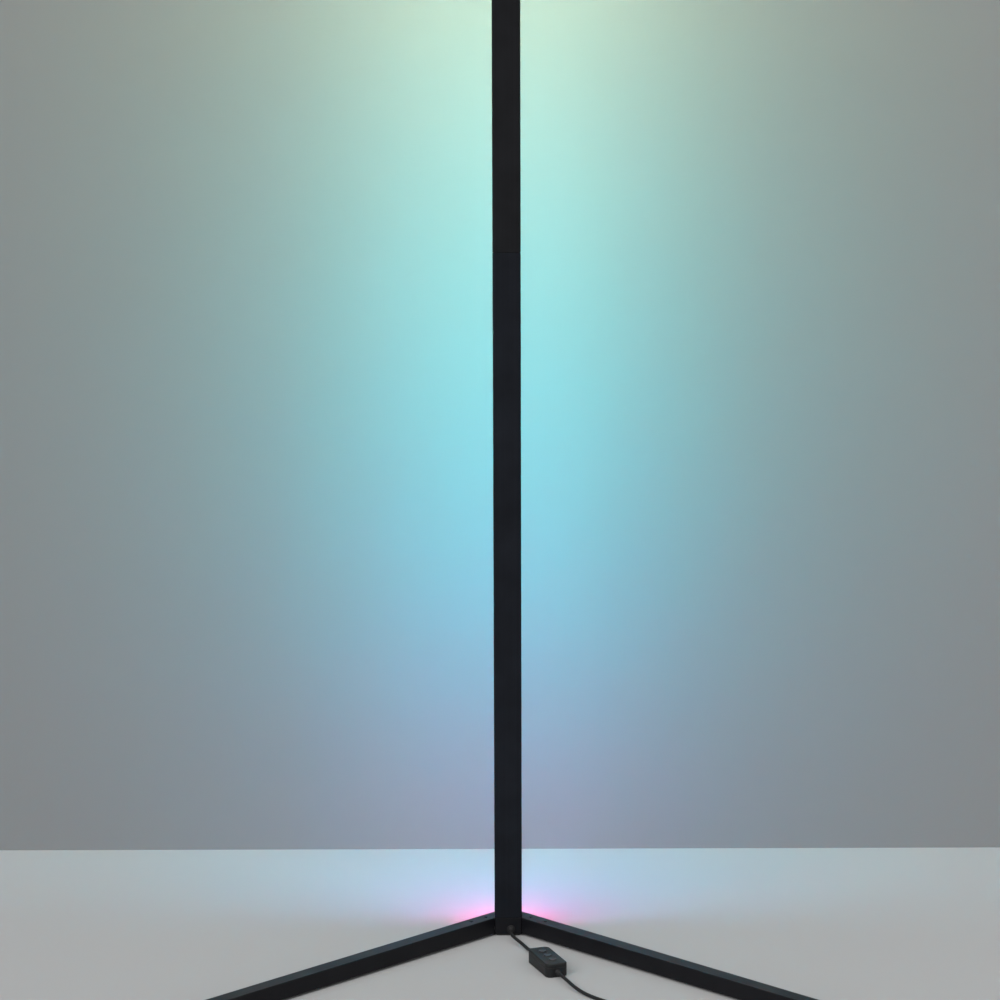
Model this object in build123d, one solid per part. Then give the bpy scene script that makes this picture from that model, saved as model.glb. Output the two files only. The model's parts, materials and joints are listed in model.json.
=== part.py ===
from build123d import *
import math
import os

# Corner floor lamp: a slim square pole of three LED profile sections on a V-shaped base.
# Millimetres, +Z up. The origin lies on the floor under the pole's axis, the legs point
# towards -Y and the light leaves the pole towards +Y.

# Pole profile
POLE_WIDTH = 20.0
POLE_DEPTH = 20.0
POLE_EDGE_RADIUS = 1.0
SECTION_NAMES = ("lower", "middle", "upper")
SECTION_LENGTH = 488.0
SECTION_END_CHAMFER = 0.3
CHAMBER_WALL = 2.0
CHAMBER_DEPTH = 8.5
WEB_THICKNESS = 1.6
CHANNEL_WALL = 1.6

# Joint bars, tenon and top cap
BAR_END = 15.0
BAR_CHAMFER = 0.6
CAP_THICKNESS = 2.0
CAP_EDGE_RADIUS = 0.6
CAP_PLUG_DEPTH = 12.0

# Light
DIFFUSER_THICKNESS = 1.6
DIFFUSER_CROWN = 0.8
DIFFUSER_END_GAP = 0.1
SNAP_LEG_LENGTH = 2.8
SNAP_LEG_THICKNESS = 1.2
SNAP_BEAD = 0.4
SNAP_BEAD_HEIGHT = 1.0
LED_BOARD_WIDTH = 10.0
LED_BOARD_THICKNESS = 0.4
LED_BOARD_END_GAP = 3.0
LED_SIZE = 5.0
LED_HEIGHT = 1.5
LED_PITCH = 16.5
LED_END_MARGIN = 16.0
CONNECTOR_WIDTH = 9.0
CONNECTOR_DEPTH = 4.0
CONNECTOR_LENGTH = 8.0
PIN_COUNT = 4
PIN_PITCH = 2.0
PIN_SIZE = 0.6
PIN_REACH = 5.0

# Base
LEG_WIDTH = 12.0
LEG_HEIGHT = 12.0
LEG_LENGTH = 290.0
LEG_SPREAD = 90.0
LEG_EDGE_RADIUS = 0.8
LEG_PIN_DIAMETER = 6.0
LEG_PIN_END = 10.0
LEG_PIN_ROOT = 6.0
LEG_BORE_END_GAP = 1.0
FOOT_HEIGHT = 1.5
FOOT_INSET = 1.0
FOOT_END_INSET = 8.0
LEG_FOOT_LENGTH = 30.0
FOOT_CORNER = 2.0

# Grub screws
SCREW_DIAMETER = 3.0
SCREW_RECESS = 0.3
SCREW_DIMPLE = 1.0
SCREW_SOCKET_FLATS = 1.5
SCREW_SOCKET_DEPTH = 1.3
SCREW_TIP_CHAMFER = 0.4
LEG_SCREW_FIRST = 9.0
LEG_SCREW_PITCH = 15.0
POLE_SCREW_INSET = 25.0

# Cord and its gland
CORD_DIAMETER = 2.5
GLAND_PLUG_DIAMETER = 5.0
GLAND_PLUG_DEPTH = 3.0
GLAND_FLANGE_DIAMETER = 6.0
GLAND_FLANGE_THICKNESS = 1.2
GLAND_RELIEF_LENGTH = 4.8
GLAND_RELIEF_DIAMETER = 4.4
GLAND_TIP_DIAMETER = 3.3
GLAND_RISE = 0.5
GLAND_OFFSET = 2.0
INNER_LEAD_RISE = 12.0
ARC_SHARE = 0.45

# Inline controller
CASE_LENGTH = 40.0
CASE_WIDTH = 16.0
CASE_WALL = 1.4
CASE_CORNER = 4.0
CASE_EDGE_RADIUS = 0.9
SEAM_CHAMFER = 0.25
LIP_HEIGHT = 1.0
LIP_THICKNESS = 0.7
POST_HEIGHT = 1.0
POST_DIAMETER = 3.0
POST_INSET = 2.5
BOARD_THICKNESS = 1.0
BOARD_END_GAP = 0.5
BOARD_SIDE_GAP = 0.3
SWITCH_SIZE = 6.0
SWITCH_HEIGHT = 2.6
PLUNGER_DIAMETER = 2.8
PLUNGER_PROUD = 0.9
PLUNGER_SEAT = 1.2
BUTTON_NAMES = ("power", "mode", "colour")
BUTTON_PITCH = 10.0
BUTTON_DIAMETER = 5.6
BUTTON_PROUD = 0.8
BUTTON_EDGE_RADIUS = 0.4
BUTTON_STEM_DIAMETER = 3.0
BUTTON_STEM_LENGTH = 0.7
BUTTON_FLANGE_DIAMETER = 7.0
BUTTON_FLANGE_THICKNESS = 0.9
BUTTON_TRAVEL = 0.5
BOOT_LENGTH = 6.0
BOOT_DIAMETER = 4.4
BOOT_TIP_DIAMETER = 3.2
BOOT_NECK_DIAMETER = 3.5
BOOT_FLANGE_DIAMETER = 4.4
BOOT_FLANGE_THICKNESS = 0.8
CONTROLLER_PLACE = (27.6, -86.0)
CONTROLLER_ANGLE = -70.0

# Coil, tie and plug
COIL_CENTRE = (78.0, -226.0)
COIL_OUTER_RADIUS = 20.0
COIL_TURN_STEP = 3.4
COIL_LAYER_STEP = 3.1
COIL_LAYERS = 4
COIL_SPIRAL_TURNS = 2.9375
COIL_CLIMB_TURNS = 0.5
COIL_BIARC_TURNS = 0.25
COIL_TIE_ANGLE = 180.0
TIE_WIDTH = 6.0
TIE_THICKNESS = 0.5
TIE_CLEARANCE = 0.2
PLUG_PLACE = (18.5, -243.6)
PLUG_ANGLE = 171.0
PLUG_BOOT_LENGTH = 8.0
PLUG_BOOT_DIAMETER = 5.0
PLUG_TIP_DIAMETER = 3.2
PLUG_GRIP_LENGTH = 24.0
PLUG_GRIP_WIDTH = 15.0
PLUG_GRIP_HEIGHT = 7.6
PLUG_GRIP_RADIUS = 1.8
PLUG_SHELL_WIDTH = 12.0
PLUG_SHELL_HEIGHT = 4.5
PLUG_SHELL_WALL = 0.3
PLUG_SHELL_REACH = 12.0
PLUG_SHELL_SEAT = 5.0
PLUG_WINDOW_WIDTH = 2.5
PLUG_WINDOW_LENGTH = 2.0
PLUG_WINDOW_PITCH = 5.0
PLUG_WINDOW_SETBACK = 4.2
PLUG_TONGUE_THICKNESS = 1.8
PLUG_TONGUE_SETBACK = 0.6
CONTACT_COUNT = 4
CONTACT_PITCH = 2.4
CONTACT_WIDTH = 1.2
CONTACT_THICKNESS = 0.2
CONTACT_LENGTH = 8.0

# Clearances
FIT = 0.1
SCREW_FIT = 0.05
SLIDE_FIT = 0.2

# Derived places
HALF_WIDTH = POLE_WIDTH / 2
HALF_DEPTH = POLE_DEPTH / 2
CHAMBER_HALF = HALF_WIDTH - CHAMBER_WALL
CHAMBER_FRONT = -HALF_DEPTH + CHAMBER_WALL
CHAMBER_BACK = CHAMBER_FRONT + CHAMBER_DEPTH
CHAMBER_MIDDLE = (CHAMBER_FRONT + CHAMBER_BACK) / 2
WEB_BACK = CHAMBER_BACK + WEB_THICKNESS
CHANNEL_HALF = HALF_WIDTH - CHANNEL_WALL
LED_BOARD_FACE = WEB_BACK + LED_BOARD_THICKNESS
SNAP_BEAD_PLACE = HALF_DEPTH - DIFFUSER_THICKNESS - SNAP_LEG_LENGTH + SNAP_BEAD_HEIGHT
BAR_REACH = POLE_SCREW_INSET + BAR_END
LEG_MIDDLE = FOOT_HEIGHT + LEG_HEIGHT / 2
LEG_TOP = FOOT_HEIGHT + LEG_HEIGHT
LEG_HALF_ANGLE = math.radians(LEG_SPREAD / 2)
MITRE_PLACE = -HALF_DEPTH + LEG_WIDTH / (2 * math.sin(LEG_HALF_ANGLE))
LEG_PIN_LENGTH = LEG_SCREW_FIRST + LEG_SCREW_PITCH + LEG_PIN_END
LEG_SCREW_PLACES = (LEG_SCREW_FIRST, LEG_SCREW_FIRST + LEG_SCREW_PITCH)
GLAND_HEIGHT = FOOT_HEIGHT + GLAND_FLANGE_DIAMETER / 2 + GLAND_RISE
GLAND_TIP = -HALF_DEPTH - GLAND_FLANGE_THICKNESS - GLAND_RELIEF_LENGTH
INNER_LEAD_PLACE = LED_BOARD_FACE + CORD_DIAMETER / 2 + FIT
BOARD_BOTTOM = CASE_WALL + POST_HEIGHT
BOARD_TOP = BOARD_BOTTOM + BOARD_THICKNESS
SWITCH_TOP = BOARD_TOP + SWITCH_HEIGHT
PLUNGER_TOP = SWITCH_TOP + PLUNGER_PROUD
BUTTON_FLANGE_BOTTOM = PLUNGER_TOP + BUTTON_STEM_LENGTH
BUTTON_FLANGE_TOP = BUTTON_FLANGE_BOTTOM + BUTTON_FLANGE_THICKNESS
CASE_HEIGHT = BUTTON_FLANGE_TOP + FIT + CASE_WALL
BOOT_HEIGHT = CASE_WALL + FIT + BOOT_FLANGE_DIAMETER / 2
CASE_SPLIT = BOOT_HEIGHT + BOOT_FLANGE_DIAMETER / 2 + FIT + LIP_HEIGHT
BUTTON_PLACES = [(k - (len(BUTTON_NAMES) - 1) / 2) * BUTTON_PITCH for k in range(len(BUTTON_NAMES))]
COIL_LIFT = TIE_THICKNESS + TIE_CLEARANCE
COIL_FIRST_HEIGHT = COIL_LIFT + CORD_DIAMETER / 2
COIL_TURNS = COIL_LAYERS * COIL_SPIRAL_TURNS + (COIL_LAYERS - 1) * COIL_CLIMB_TURNS
PLUG_HEIGHT = PLUG_GRIP_HEIGHT / 2
FLOOR_CORD = CORD_DIAMETER / 2

# Free cord stretches between their end pieces, chosen by hand on the floor
LAMP_LEAD_POINTS = [
    (4.8, -28.9, 4.3),
    (9.0, -34.8, 2.8),
    (12.4, -41.1, 1.7),
    (14.6, -48.2, 1.8),
]
SUPPLY_LEAD_POINTS = [
    (45.6, -133.4, 2.5),
    (53.2, -145.8, 1.5),
    (63.1, -156.8, FLOOR_CORD),
    (73.9, -167.1, FLOOR_CORD),
    (84.6, -178.2, FLOOR_CORD),
    (93.0, -191.4, 1.5),
]
PLUG_TAIL_POINTS = [
    (54.0, -246.9, 8.6),
    (42.0, -246.6, 5.6),
]
LAMP_LEAD_START_RUN = 6.0
LAMP_LEAD_END_RUN = 6.9
SUPPLY_LEAD_START_RUN = 11.0
SUPPLY_LEAD_END_RUN = 15.0
TAIL_START_RUN = 9.0
TAIL_END_RUN = 11.5


def block(x, y, z):
    """Box between a low and a high limit on each axis."""
    size = Box(x[1] - x[0], y[1] - y[0], z[1] - z[0])
    return Pos((x[0] + x[1]) / 2, (y[0] + y[1]) / 2, (z[0] + z[1]) / 2) * size


def rod(start, direction, diameter, length):
    """Cylinder from a start point along a direction."""
    upright = Cylinder(diameter / 2, length, align=(Align.CENTER, Align.CENTER, Align.MIN))
    return Plane(origin=start, z_dir=direction) * upright


def taper(start, direction, first_diameter, last_diameter, length):
    """Cone frustum from a start point along a direction."""
    upright = Cone(
        first_diameter / 2, last_diameter / 2, length, align=(Align.CENTER, Align.CENTER, Align.MIN)
    )
    return Plane(origin=start, z_dir=direction) * upright


def section_base(index):
    """Height of the lower end of a pole section."""
    return LEG_TOP + index * SECTION_LENGTH


def section_screw_heights(index):
    """Heights of a section's grub screws above the floor."""
    heights = [section_base(index) + POLE_SCREW_INSET]
    if index < len(SECTION_NAMES) - 1:
        heights.append(section_base(index + 1) - POLE_SCREW_INSET)
    return heights


def side_holes(heights, reach):
    """Screw holes from both sides of the pole, down to a distance from its axis."""
    diameter = SCREW_DIAMETER + 2 * SCREW_FIT
    holes = []
    for height in heights:
        for side in (-1, 1):
            start = (side * reach, CHAMBER_MIDDLE, height)
            holes.append(rod(start, (side, 0, 0), diameter, POLE_WIDTH))
    return holes


def profile(index):
    """Aluminium section: closed chamber in front, open LED channel with snap grooves at the back."""
    base = section_base(index)
    outline = extrude(RectangleRounded(POLE_WIDTH, POLE_DEPTH, POLE_EDGE_RADIUS), SECTION_LENGTH)
    ends = outline.edges().group_by(Axis.Z)
    body = Pos(0, 0, base) * chamfer(ends[0] + ends[-1], SECTION_END_CHAMFER)
    along = (base, base + SECTION_LENGTH)
    body -= block((-CHAMBER_HALF, CHAMBER_HALF), (CHAMBER_FRONT, CHAMBER_BACK), along)
    body -= block((-CHANNEL_HALF, CHANNEL_HALF), (WEB_BACK, POLE_DEPTH), along)
    groove = CHANNEL_HALF + SNAP_BEAD
    reach = SNAP_BEAD_HEIGHT / 2 + FIT
    body -= block((-groove, groove), (SNAP_BEAD_PLACE - reach, SNAP_BEAD_PLACE + reach), along)
    return body - side_holes(section_screw_heights(index), 0)


def diffuser(index):
    """Milky snap-in cover with a low crown, two snap legs and their beads."""
    half = CHANNEL_HALF - FIT
    inside = HALF_DEPTH - DIFFUSER_THICKNESS
    crown = Line((half, HALF_DEPTH), (-half, HALF_DEPTH)) + ThreePointArc(
        (-half, HALF_DEPTH), (0, HALF_DEPTH + DIFFUSER_CROWN), (half, HALF_DEPTH)
    )
    plate = Pos(0, HALF_DEPTH - DIFFUSER_THICKNESS / 2) * Rectangle(2 * half, DIFFUSER_THICKNESS)
    outline = make_face(crown) + plate
    for side in (-1, 1):
        leg_place = side * (half - SNAP_LEG_THICKNESS / 2)
        outline += Pos(leg_place, inside - SNAP_LEG_LENGTH / 2) * Rectangle(
            SNAP_LEG_THICKNESS, SNAP_LEG_LENGTH
        )
        outline += Pos(side * half, SNAP_BEAD_PLACE) * Rectangle(2 * SNAP_BEAD, SNAP_BEAD_HEIGHT)
    cover = extrude(outline, SECTION_LENGTH - 2 * DIFFUSER_END_GAP)
    return Pos(0, 0, section_base(index) + DIFFUSER_END_GAP) * cover


def led_board_ends(index):
    """Lower and upper end heights of a section's LED board."""
    first = LED_BOARD_END_GAP if index == 0 else CONNECTOR_LENGTH
    last = LED_BOARD_END_GAP if index == len(SECTION_NAMES) - 1 else CONNECTOR_LENGTH
    return section_base(index) + first, section_base(index + 1) - last


def led_board(index):
    """Narrow circuit board lying on the web of its section."""
    half = LED_BOARD_WIDTH / 2
    return block((-half, half), (WEB_BACK, LED_BOARD_FACE), led_board_ends(index))


def leds(index):
    """Square LED packages in an even row on the board."""
    room = SECTION_LENGTH - 2 * LED_END_MARGIN
    count = int(room / LED_PITCH) + 1
    first = section_base(index) + SECTION_LENGTH / 2 - (count - 1) * LED_PITCH / 2
    half = LED_SIZE / 2
    packages = []
    for k in range(count):
        middle = first + k * LED_PITCH
        face = (LED_BOARD_FACE, LED_BOARD_FACE + LED_HEIGHT)
        packages.append(block((-half, half), face, (middle - half, middle + half)))
    return Compound(packages)


def joint_bar(joint):
    """Bar inside both chambers at a section joint, with dimples for the screw tips."""
    half = CHAMBER_HALF - FIT
    depth = CHAMBER_DEPTH - 2 * FIT
    bar = chamfer(Box(2 * half, depth, 2 * BAR_REACH).edges(), BAR_CHAMFER)
    height = section_base(joint)
    heights = (height - POLE_SCREW_INSET, height + POLE_SCREW_INSET)
    return Pos(0, CHAMBER_MIDDLE, height) * bar - side_holes(heights, half - SCREW_DIMPLE)


def pin_offsets():
    """Sideways places of the connector pins."""
    return [(k - (PIN_COUNT - 1) / 2) * PIN_PITCH for k in range(PIN_COUNT)]


def connector_housing(low, high):
    """Plain connector body on the web between two heights."""
    half = CONNECTOR_WIDTH / 2
    return block((-half, half), (WEB_BACK, WEB_BACK + CONNECTOR_DEPTH), (low, high))


def pins(joint, clearance):
    """Square pins, or the holes for them, reaching up from a section joint."""
    low = section_base(joint)
    half = PIN_SIZE / 2 + clearance
    middle = WEB_BACK + CONNECTOR_DEPTH / 2
    along = (low, low + PIN_REACH + clearance)
    return [block((x - half, x + half), (middle - half, middle + half), along) for x in pin_offsets()]


def joint_header(joint):
    """Pin header at the top of the lower board of a joint."""
    height = section_base(joint)
    return connector_housing(height - CONNECTOR_LENGTH, height) + pins(joint, 0)


def joint_socket(joint):
    """Socket at the foot of the upper board of a joint."""
    height = section_base(joint)
    return connector_housing(height, height + CONNECTOR_LENGTH) - pins(joint, FIT)


def top_cap():
    """Cap that closes the pole, with a plug in the chamber."""
    top = section_base(len(SECTION_NAMES))
    plate = extrude(RectangleRounded(POLE_WIDTH, POLE_DEPTH, POLE_EDGE_RADIUS), CAP_THICKNESS)
    plate = Pos(0, 0, top) * fillet(plate.edges().group_by(Axis.Z)[-1], CAP_EDGE_RADIUS)
    half = CHAMBER_HALF - FIT
    inside = (CHAMBER_FRONT + FIT, CHAMBER_BACK - FIT)
    return plate + block((-half, half), inside, (top - CAP_PLUG_DEPTH, top))


def grub_screw(length):
    """Headless screw, tip at the origin and hex socket at the far end of +Z."""
    body = Cylinder(SCREW_DIAMETER / 2, length, align=(Align.CENTER, Align.CENTER, Align.MIN))
    body = chamfer(body.edges().sort_by(Axis.Z)[0], SCREW_TIP_CHAMFER)
    socket_radius = SCREW_SOCKET_FLATS / 2 / math.cos(math.pi / 6)
    socket = Pos(0, 0, length) * RegularPolygon(socket_radius, 6)
    return body - extrude(socket, -SCREW_SOCKET_DEPTH)


def pole_screws():
    """Grub screws through the pole's sides into the tenon and the joint bars."""
    tip = CHAMBER_HALF - FIT - SCREW_DIMPLE
    screw = grub_screw(HALF_WIDTH - SCREW_RECESS - tip)
    placed = []
    for index in range(len(SECTION_NAMES)):
        for height in section_screw_heights(index):
            for side in (-1, 1):
                seat = Plane(origin=(side * tip, CHAMBER_MIDDLE, height), z_dir=(side, 0, 0))
                placed.append(seat * screw)
    return Compound(placed)


def leg_frame(side):
    """Plane at the middle of a leg's mitred end, with X along the leg and Z up."""
    direction = (side * math.sin(LEG_HALF_ANGLE), -math.cos(LEG_HALF_ANGLE), 0)
    origin = (side * HALF_WIDTH, MITRE_PLACE, LEG_MIDDLE)
    return Plane(origin=origin, x_dir=direction, z_dir=(0, 0, 1))


def leg(side):
    """Steel bar, mitred against the hub, bored for the hub's pin and tapped for two screws."""
    half_width = LEG_WIDTH / 2
    half_height = LEG_HEIGHT / 2
    bar = block((-LEG_WIDTH, LEG_LENGTH), (-half_width, half_width), (-half_height, half_height))
    bar = fillet(bar.edges().filter_by(Axis.X), LEG_EDGE_RADIUS)
    bar = fillet(bar.faces().sort_by(Axis.X)[-1].edges(), LEG_EDGE_RADIUS / 2)
    bore_length = LEG_WIDTH + LEG_PIN_LENGTH + LEG_BORE_END_GAP
    bar -= rod((-LEG_WIDTH, 0, 0), (1, 0, 0), LEG_PIN_DIAMETER + 2 * FIT, bore_length)
    for place in LEG_SCREW_PLACES:
        bar -= rod((place, 0, 0), (0, 0, 1), SCREW_DIAMETER + 2 * SCREW_FIT, LEG_HEIGHT)
    reach = HALF_WIDTH + FIT
    return leg_frame(side) * bar - block((-reach, reach), (-LEG_LENGTH, LEG_LENGTH), (0, 2 * LEG_TOP))


def leg_screws():
    """Grub screws from the top of each leg onto the hub's pins."""
    tip = LEG_PIN_DIAMETER / 2 - SCREW_DIMPLE
    screw = grub_screw(LEG_HEIGHT / 2 - SCREW_RECESS - tip)
    placed = []
    for side in (-1, 1):
        for place in LEG_SCREW_PLACES:
            placed.append(leg_frame(side) * Pos(place, 0, tip) * screw)
    return Compound(placed)


def base_hub():
    """Casting with the pole's outline, a tenon for the pole, a pin for each leg and the cord's way."""
    outline = extrude(RectangleRounded(POLE_WIDTH, POLE_DEPTH, POLE_EDGE_RADIUS), LEG_HEIGHT)
    hub = Pos(0, 0, FOOT_HEIGHT) * outline
    half = CHAMBER_HALF - FIT
    inside = (CHAMBER_FRONT + FIT, CHAMBER_BACK - FIT)
    tenon = block((-half, half), inside, (LEG_TOP - LEG_HEIGHT / 2, LEG_TOP + BAR_REACH))
    hub += chamfer(tenon.edges().group_by(Axis.Z)[-1], BAR_CHAMFER)
    hub -= side_holes([LEG_TOP + POLE_SCREW_INSET], half - SCREW_DIMPLE)
    for side in (-1, 1):
        pin = rod((-LEG_PIN_ROOT, 0, 0), (1, 0, 0), LEG_PIN_DIAMETER, LEG_PIN_ROOT + LEG_PIN_LENGTH)
        for place in LEG_SCREW_PLACES:
            dimple = (place, 0, LEG_PIN_DIAMETER / 2 - SCREW_DIMPLE)
            pin -= rod(dimple, (0, 0, 1), SCREW_DIAMETER + 2 * SCREW_FIT, LEG_HEIGHT)
        hub += leg_frame(side) * pin
    way = CORD_DIAMETER + 2 * SLIDE_FIT
    front = (GLAND_OFFSET, -HALF_DEPTH, GLAND_HEIGHT)
    hub -= rod(front, (0, 1, 0), GLAND_PLUG_DIAMETER + 2 * SCREW_FIT, GLAND_PLUG_DEPTH + FIT)
    hub -= rod(front, (0, 1, 0), way, HALF_DEPTH + INNER_LEAD_PLACE)
    corner = (GLAND_OFFSET, INNER_LEAD_PLACE, GLAND_HEIGHT)
    hub -= rod(corner, (0, 0, 1), way, LEG_TOP)
    return hub - Pos(corner) * Sphere(way / 2)


def hub_foot():
    """Rubber pad under the hub."""
    inset = 2 * FOOT_INSET
    return extrude(RectangleRounded(POLE_WIDTH - inset, POLE_DEPTH - inset, FOOT_CORNER), FOOT_HEIGHT)


def leg_foot(side):
    """Rubber pad under a leg's end."""
    pad = extrude(
        RectangleRounded(LEG_FOOT_LENGTH, LEG_WIDTH - 2 * FOOT_INSET, FOOT_CORNER), FOOT_HEIGHT
    )
    place = LEG_LENGTH - FOOT_END_INSET - LEG_FOOT_LENGTH / 2
    return leg_frame(side) * Pos(place, 0, -LEG_MIDDLE) * pad


def cord_gland():
    """Moulded grommet in the hub's front, with a tapered relief round the cord."""
    front = (GLAND_OFFSET, -HALF_DEPTH, GLAND_HEIGHT)
    flange = (GLAND_OFFSET, -HALF_DEPTH - GLAND_FLANGE_THICKNESS, GLAND_HEIGHT)
    gland = rod(front, (0, 1, 0), GLAND_PLUG_DIAMETER, GLAND_PLUG_DEPTH)
    gland += rod(front, (0, -1, 0), GLAND_FLANGE_DIAMETER, GLAND_FLANGE_THICKNESS)
    gland += taper(flange, (0, -1, 0), GLAND_RELIEF_DIAMETER, GLAND_TIP_DIAMETER, GLAND_RELIEF_LENGTH)
    bore = CORD_DIAMETER + 2 * SCREW_FIT
    return gland - rod((GLAND_OFFSET, GLAND_TIP, GLAND_HEIGHT), (0, 1, 0), bore, POLE_DEPTH)


def inner_lead():
    """Cord inside the gland and the hub, up to the lowest LED board."""
    tip = (GLAND_OFFSET, GLAND_TIP, GLAND_HEIGHT)
    level = rod(tip, (0, 1, 0), CORD_DIAMETER, INNER_LEAD_PLACE - GLAND_TIP)
    corner = (GLAND_OFFSET, INNER_LEAD_PLACE, GLAND_HEIGHT)
    upright = rod(corner, (0, 0, 1), CORD_DIAMETER, LEG_TOP + INNER_LEAD_RISE - GLAND_HEIGHT)
    return level + upright + Pos(corner) * Sphere(CORD_DIAMETER / 2)


def at_controller(shape):
    """Place a controller piece, drawn along X with its bottom on the floor."""
    return Location((*CONTROLLER_PLACE, 0), (0, 0, CONTROLLER_ANGLE)) * shape


def case_block(inset, low, high):
    """Rounded block of the case's plan, drawn in by an inset, between two heights."""
    plan = RectangleRounded(CASE_LENGTH - 2 * inset, CASE_WIDTH - 2 * inset, CASE_CORNER - inset)
    return Pos(0, 0, low) * extrude(plan, high - low)


def controller_base():
    """Lower shell with board posts and a cord hole in each end."""
    shell = case_block(0, 0, CASE_SPLIT)
    shell = fillet(shell.edges().group_by(Axis.Z)[0], CASE_EDGE_RADIUS)
    shell = chamfer(shell.edges().group_by(Axis.Z)[-1], SEAM_CHAMFER)
    shell -= case_block(CASE_WALL, CASE_WALL, CASE_SPLIT)
    post_x = CASE_LENGTH / 2 - CASE_WALL - BOOT_FLANGE_THICKNESS - BOARD_END_GAP - POST_INSET
    post_y = CASE_WIDTH / 2 - CASE_WALL - BOARD_SIDE_GAP - POST_INSET
    for x in (-post_x, post_x):
        for y in (-post_y, post_y):
            shell += rod((x, y, CASE_WALL), (0, 0, 1), POST_DIAMETER, POST_HEIGHT)
    hole = BOOT_NECK_DIAMETER + 2 * SCREW_FIT
    shell -= rod((-CASE_LENGTH, 0, BOOT_HEIGHT), (1, 0, 0), hole, 2 * CASE_LENGTH)
    return at_controller(shell)


def controller_lid():
    """Upper shell with a locating lip and three button holes."""
    shell = case_block(0, CASE_SPLIT, CASE_HEIGHT)
    shell = fillet(shell.edges().group_by(Axis.Z)[-1], CASE_EDGE_RADIUS)
    shell = chamfer(shell.edges().group_by(Axis.Z)[0], SEAM_CHAMFER)
    lip = CASE_WALL + FIT
    shell += case_block(lip, CASE_SPLIT - LIP_HEIGHT, CASE_SPLIT + FIT)
    shell -= case_block(lip + LIP_THICKNESS, 0, CASE_HEIGHT - CASE_WALL)
    for x in BUTTON_PLACES:
        shell -= rod((x, 0, CASE_SPLIT), (0, 0, 1), BUTTON_DIAMETER + 2 * SLIDE_FIT, CASE_HEIGHT)
    return at_controller(shell)


def controller_board():
    """Circuit board on the posts of the lower shell."""
    length = CASE_LENGTH - 2 * (CASE_WALL + BOOT_FLANGE_THICKNESS + BOARD_END_GAP)
    width = CASE_WIDTH - 2 * (CASE_WALL + BOARD_SIDE_GAP)
    plan = RectangleRounded(length, width, CASE_CORNER - CASE_WALL)
    return at_controller(Pos(0, 0, BOARD_BOTTOM) * extrude(plan, BOARD_THICKNESS))


def controller_switches():
    """Tact switch bodies, each with a recess for its plunger."""
    half = SWITCH_SIZE / 2
    recess = PLUNGER_SEAT + BUTTON_TRAVEL + FIT
    bodies = []
    for x in BUTTON_PLACES:
        body = block((x - half, x + half), (-half, half), (BOARD_TOP, SWITCH_TOP))
        floor = (x, 0, SWITCH_TOP - recess)
        body -= rod(floor, (0, 0, 1), PLUNGER_DIAMETER + 2 * SLIDE_FIT, recess)
        bodies.append(at_controller(body))
    return Compound(bodies)


def switch_plunger(x):
    """Plunger of one tact switch, which moves with its button."""
    length = PLUNGER_PROUD + PLUNGER_SEAT
    return at_controller(rod((x, 0, PLUNGER_TOP - length), (0, 0, 1), PLUNGER_DIAMETER, length))


def button(x):
    """Push button: cap above the lid, flange under it and a stem on the plunger."""
    reach = CASE_HEIGHT + BUTTON_PROUD - BUTTON_FLANGE_TOP
    cap = rod((x, 0, BUTTON_FLANGE_TOP), (0, 0, 1), BUTTON_DIAMETER, reach)
    cap = fillet(cap.edges().sort_by(Axis.Z)[-1], BUTTON_EDGE_RADIUS)
    flange = (x, 0, BUTTON_FLANGE_BOTTOM)
    cap += rod(flange, (0, 0, 1), BUTTON_FLANGE_DIAMETER, BUTTON_FLANGE_THICKNESS)
    cap += rod((x, 0, PLUNGER_TOP), (0, 0, 1), BUTTON_STEM_DIAMETER, BUTTON_STEM_LENGTH)
    return at_controller(cap)


def controller_boot(side):
    """Moulded cord boot held in an end wall of the controller."""
    outward = (side, 0, 0)
    wall = (side * CASE_LENGTH / 2, 0, BOOT_HEIGHT)
    inner = (side * (CASE_LENGTH / 2 - CASE_WALL), 0, BOOT_HEIGHT)
    boot = taper(wall, outward, BOOT_DIAMETER, BOOT_TIP_DIAMETER, BOOT_LENGTH)
    boot += rod(inner, outward, BOOT_NECK_DIAMETER, CASE_WALL)
    boot += rod(inner, (-side, 0, 0), BOOT_FLANGE_DIAMETER, BOOT_FLANGE_THICKNESS)
    return at_controller(boot)


def boot_tip(side):
    """Middle of the outer end face of a controller boot."""
    reach = side * (CASE_LENGTH / 2 + BOOT_LENGTH)
    return Vector(*CONTROLLER_PLACE, BOOT_HEIGHT) + level_direction(CONTROLLER_ANGLE) * reach


def level_direction(angle):
    """Unit direction on the level at an angle from +X."""
    turn = math.radians(angle)
    return Vector(math.cos(turn), math.sin(turn), 0)


def cord_tube(name, points):
    """Round tube along straight runs joined by arcs as large as the runs allow."""
    corners = [Vector(point) for point in points]
    runs = [after - before for before, after in zip(corners, corners[1:])]
    radii = []
    for before, after in zip(runs, runs[1:]):
        half_turn = math.radians(before.get_angle(after)) / 2
        radii.append(ARC_SHARE * min(before.length, after.length) / math.tan(half_turn))
    path = FilletPolyline(*corners, radius=radii)
    tube = sweep(Plane(origin=corners[0], z_dir=runs[0]) * Circle(CORD_DIAMETER / 2), path=path)
    expected = math.pi * CORD_DIAMETER**2 / 4 * path.length
    print(name, "radii", [round(radius, 1) for radius in radii])
    print(name, "length", round(path.length, 1), "volume share", round(tube.volume / expected, 4))
    return tube


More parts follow.
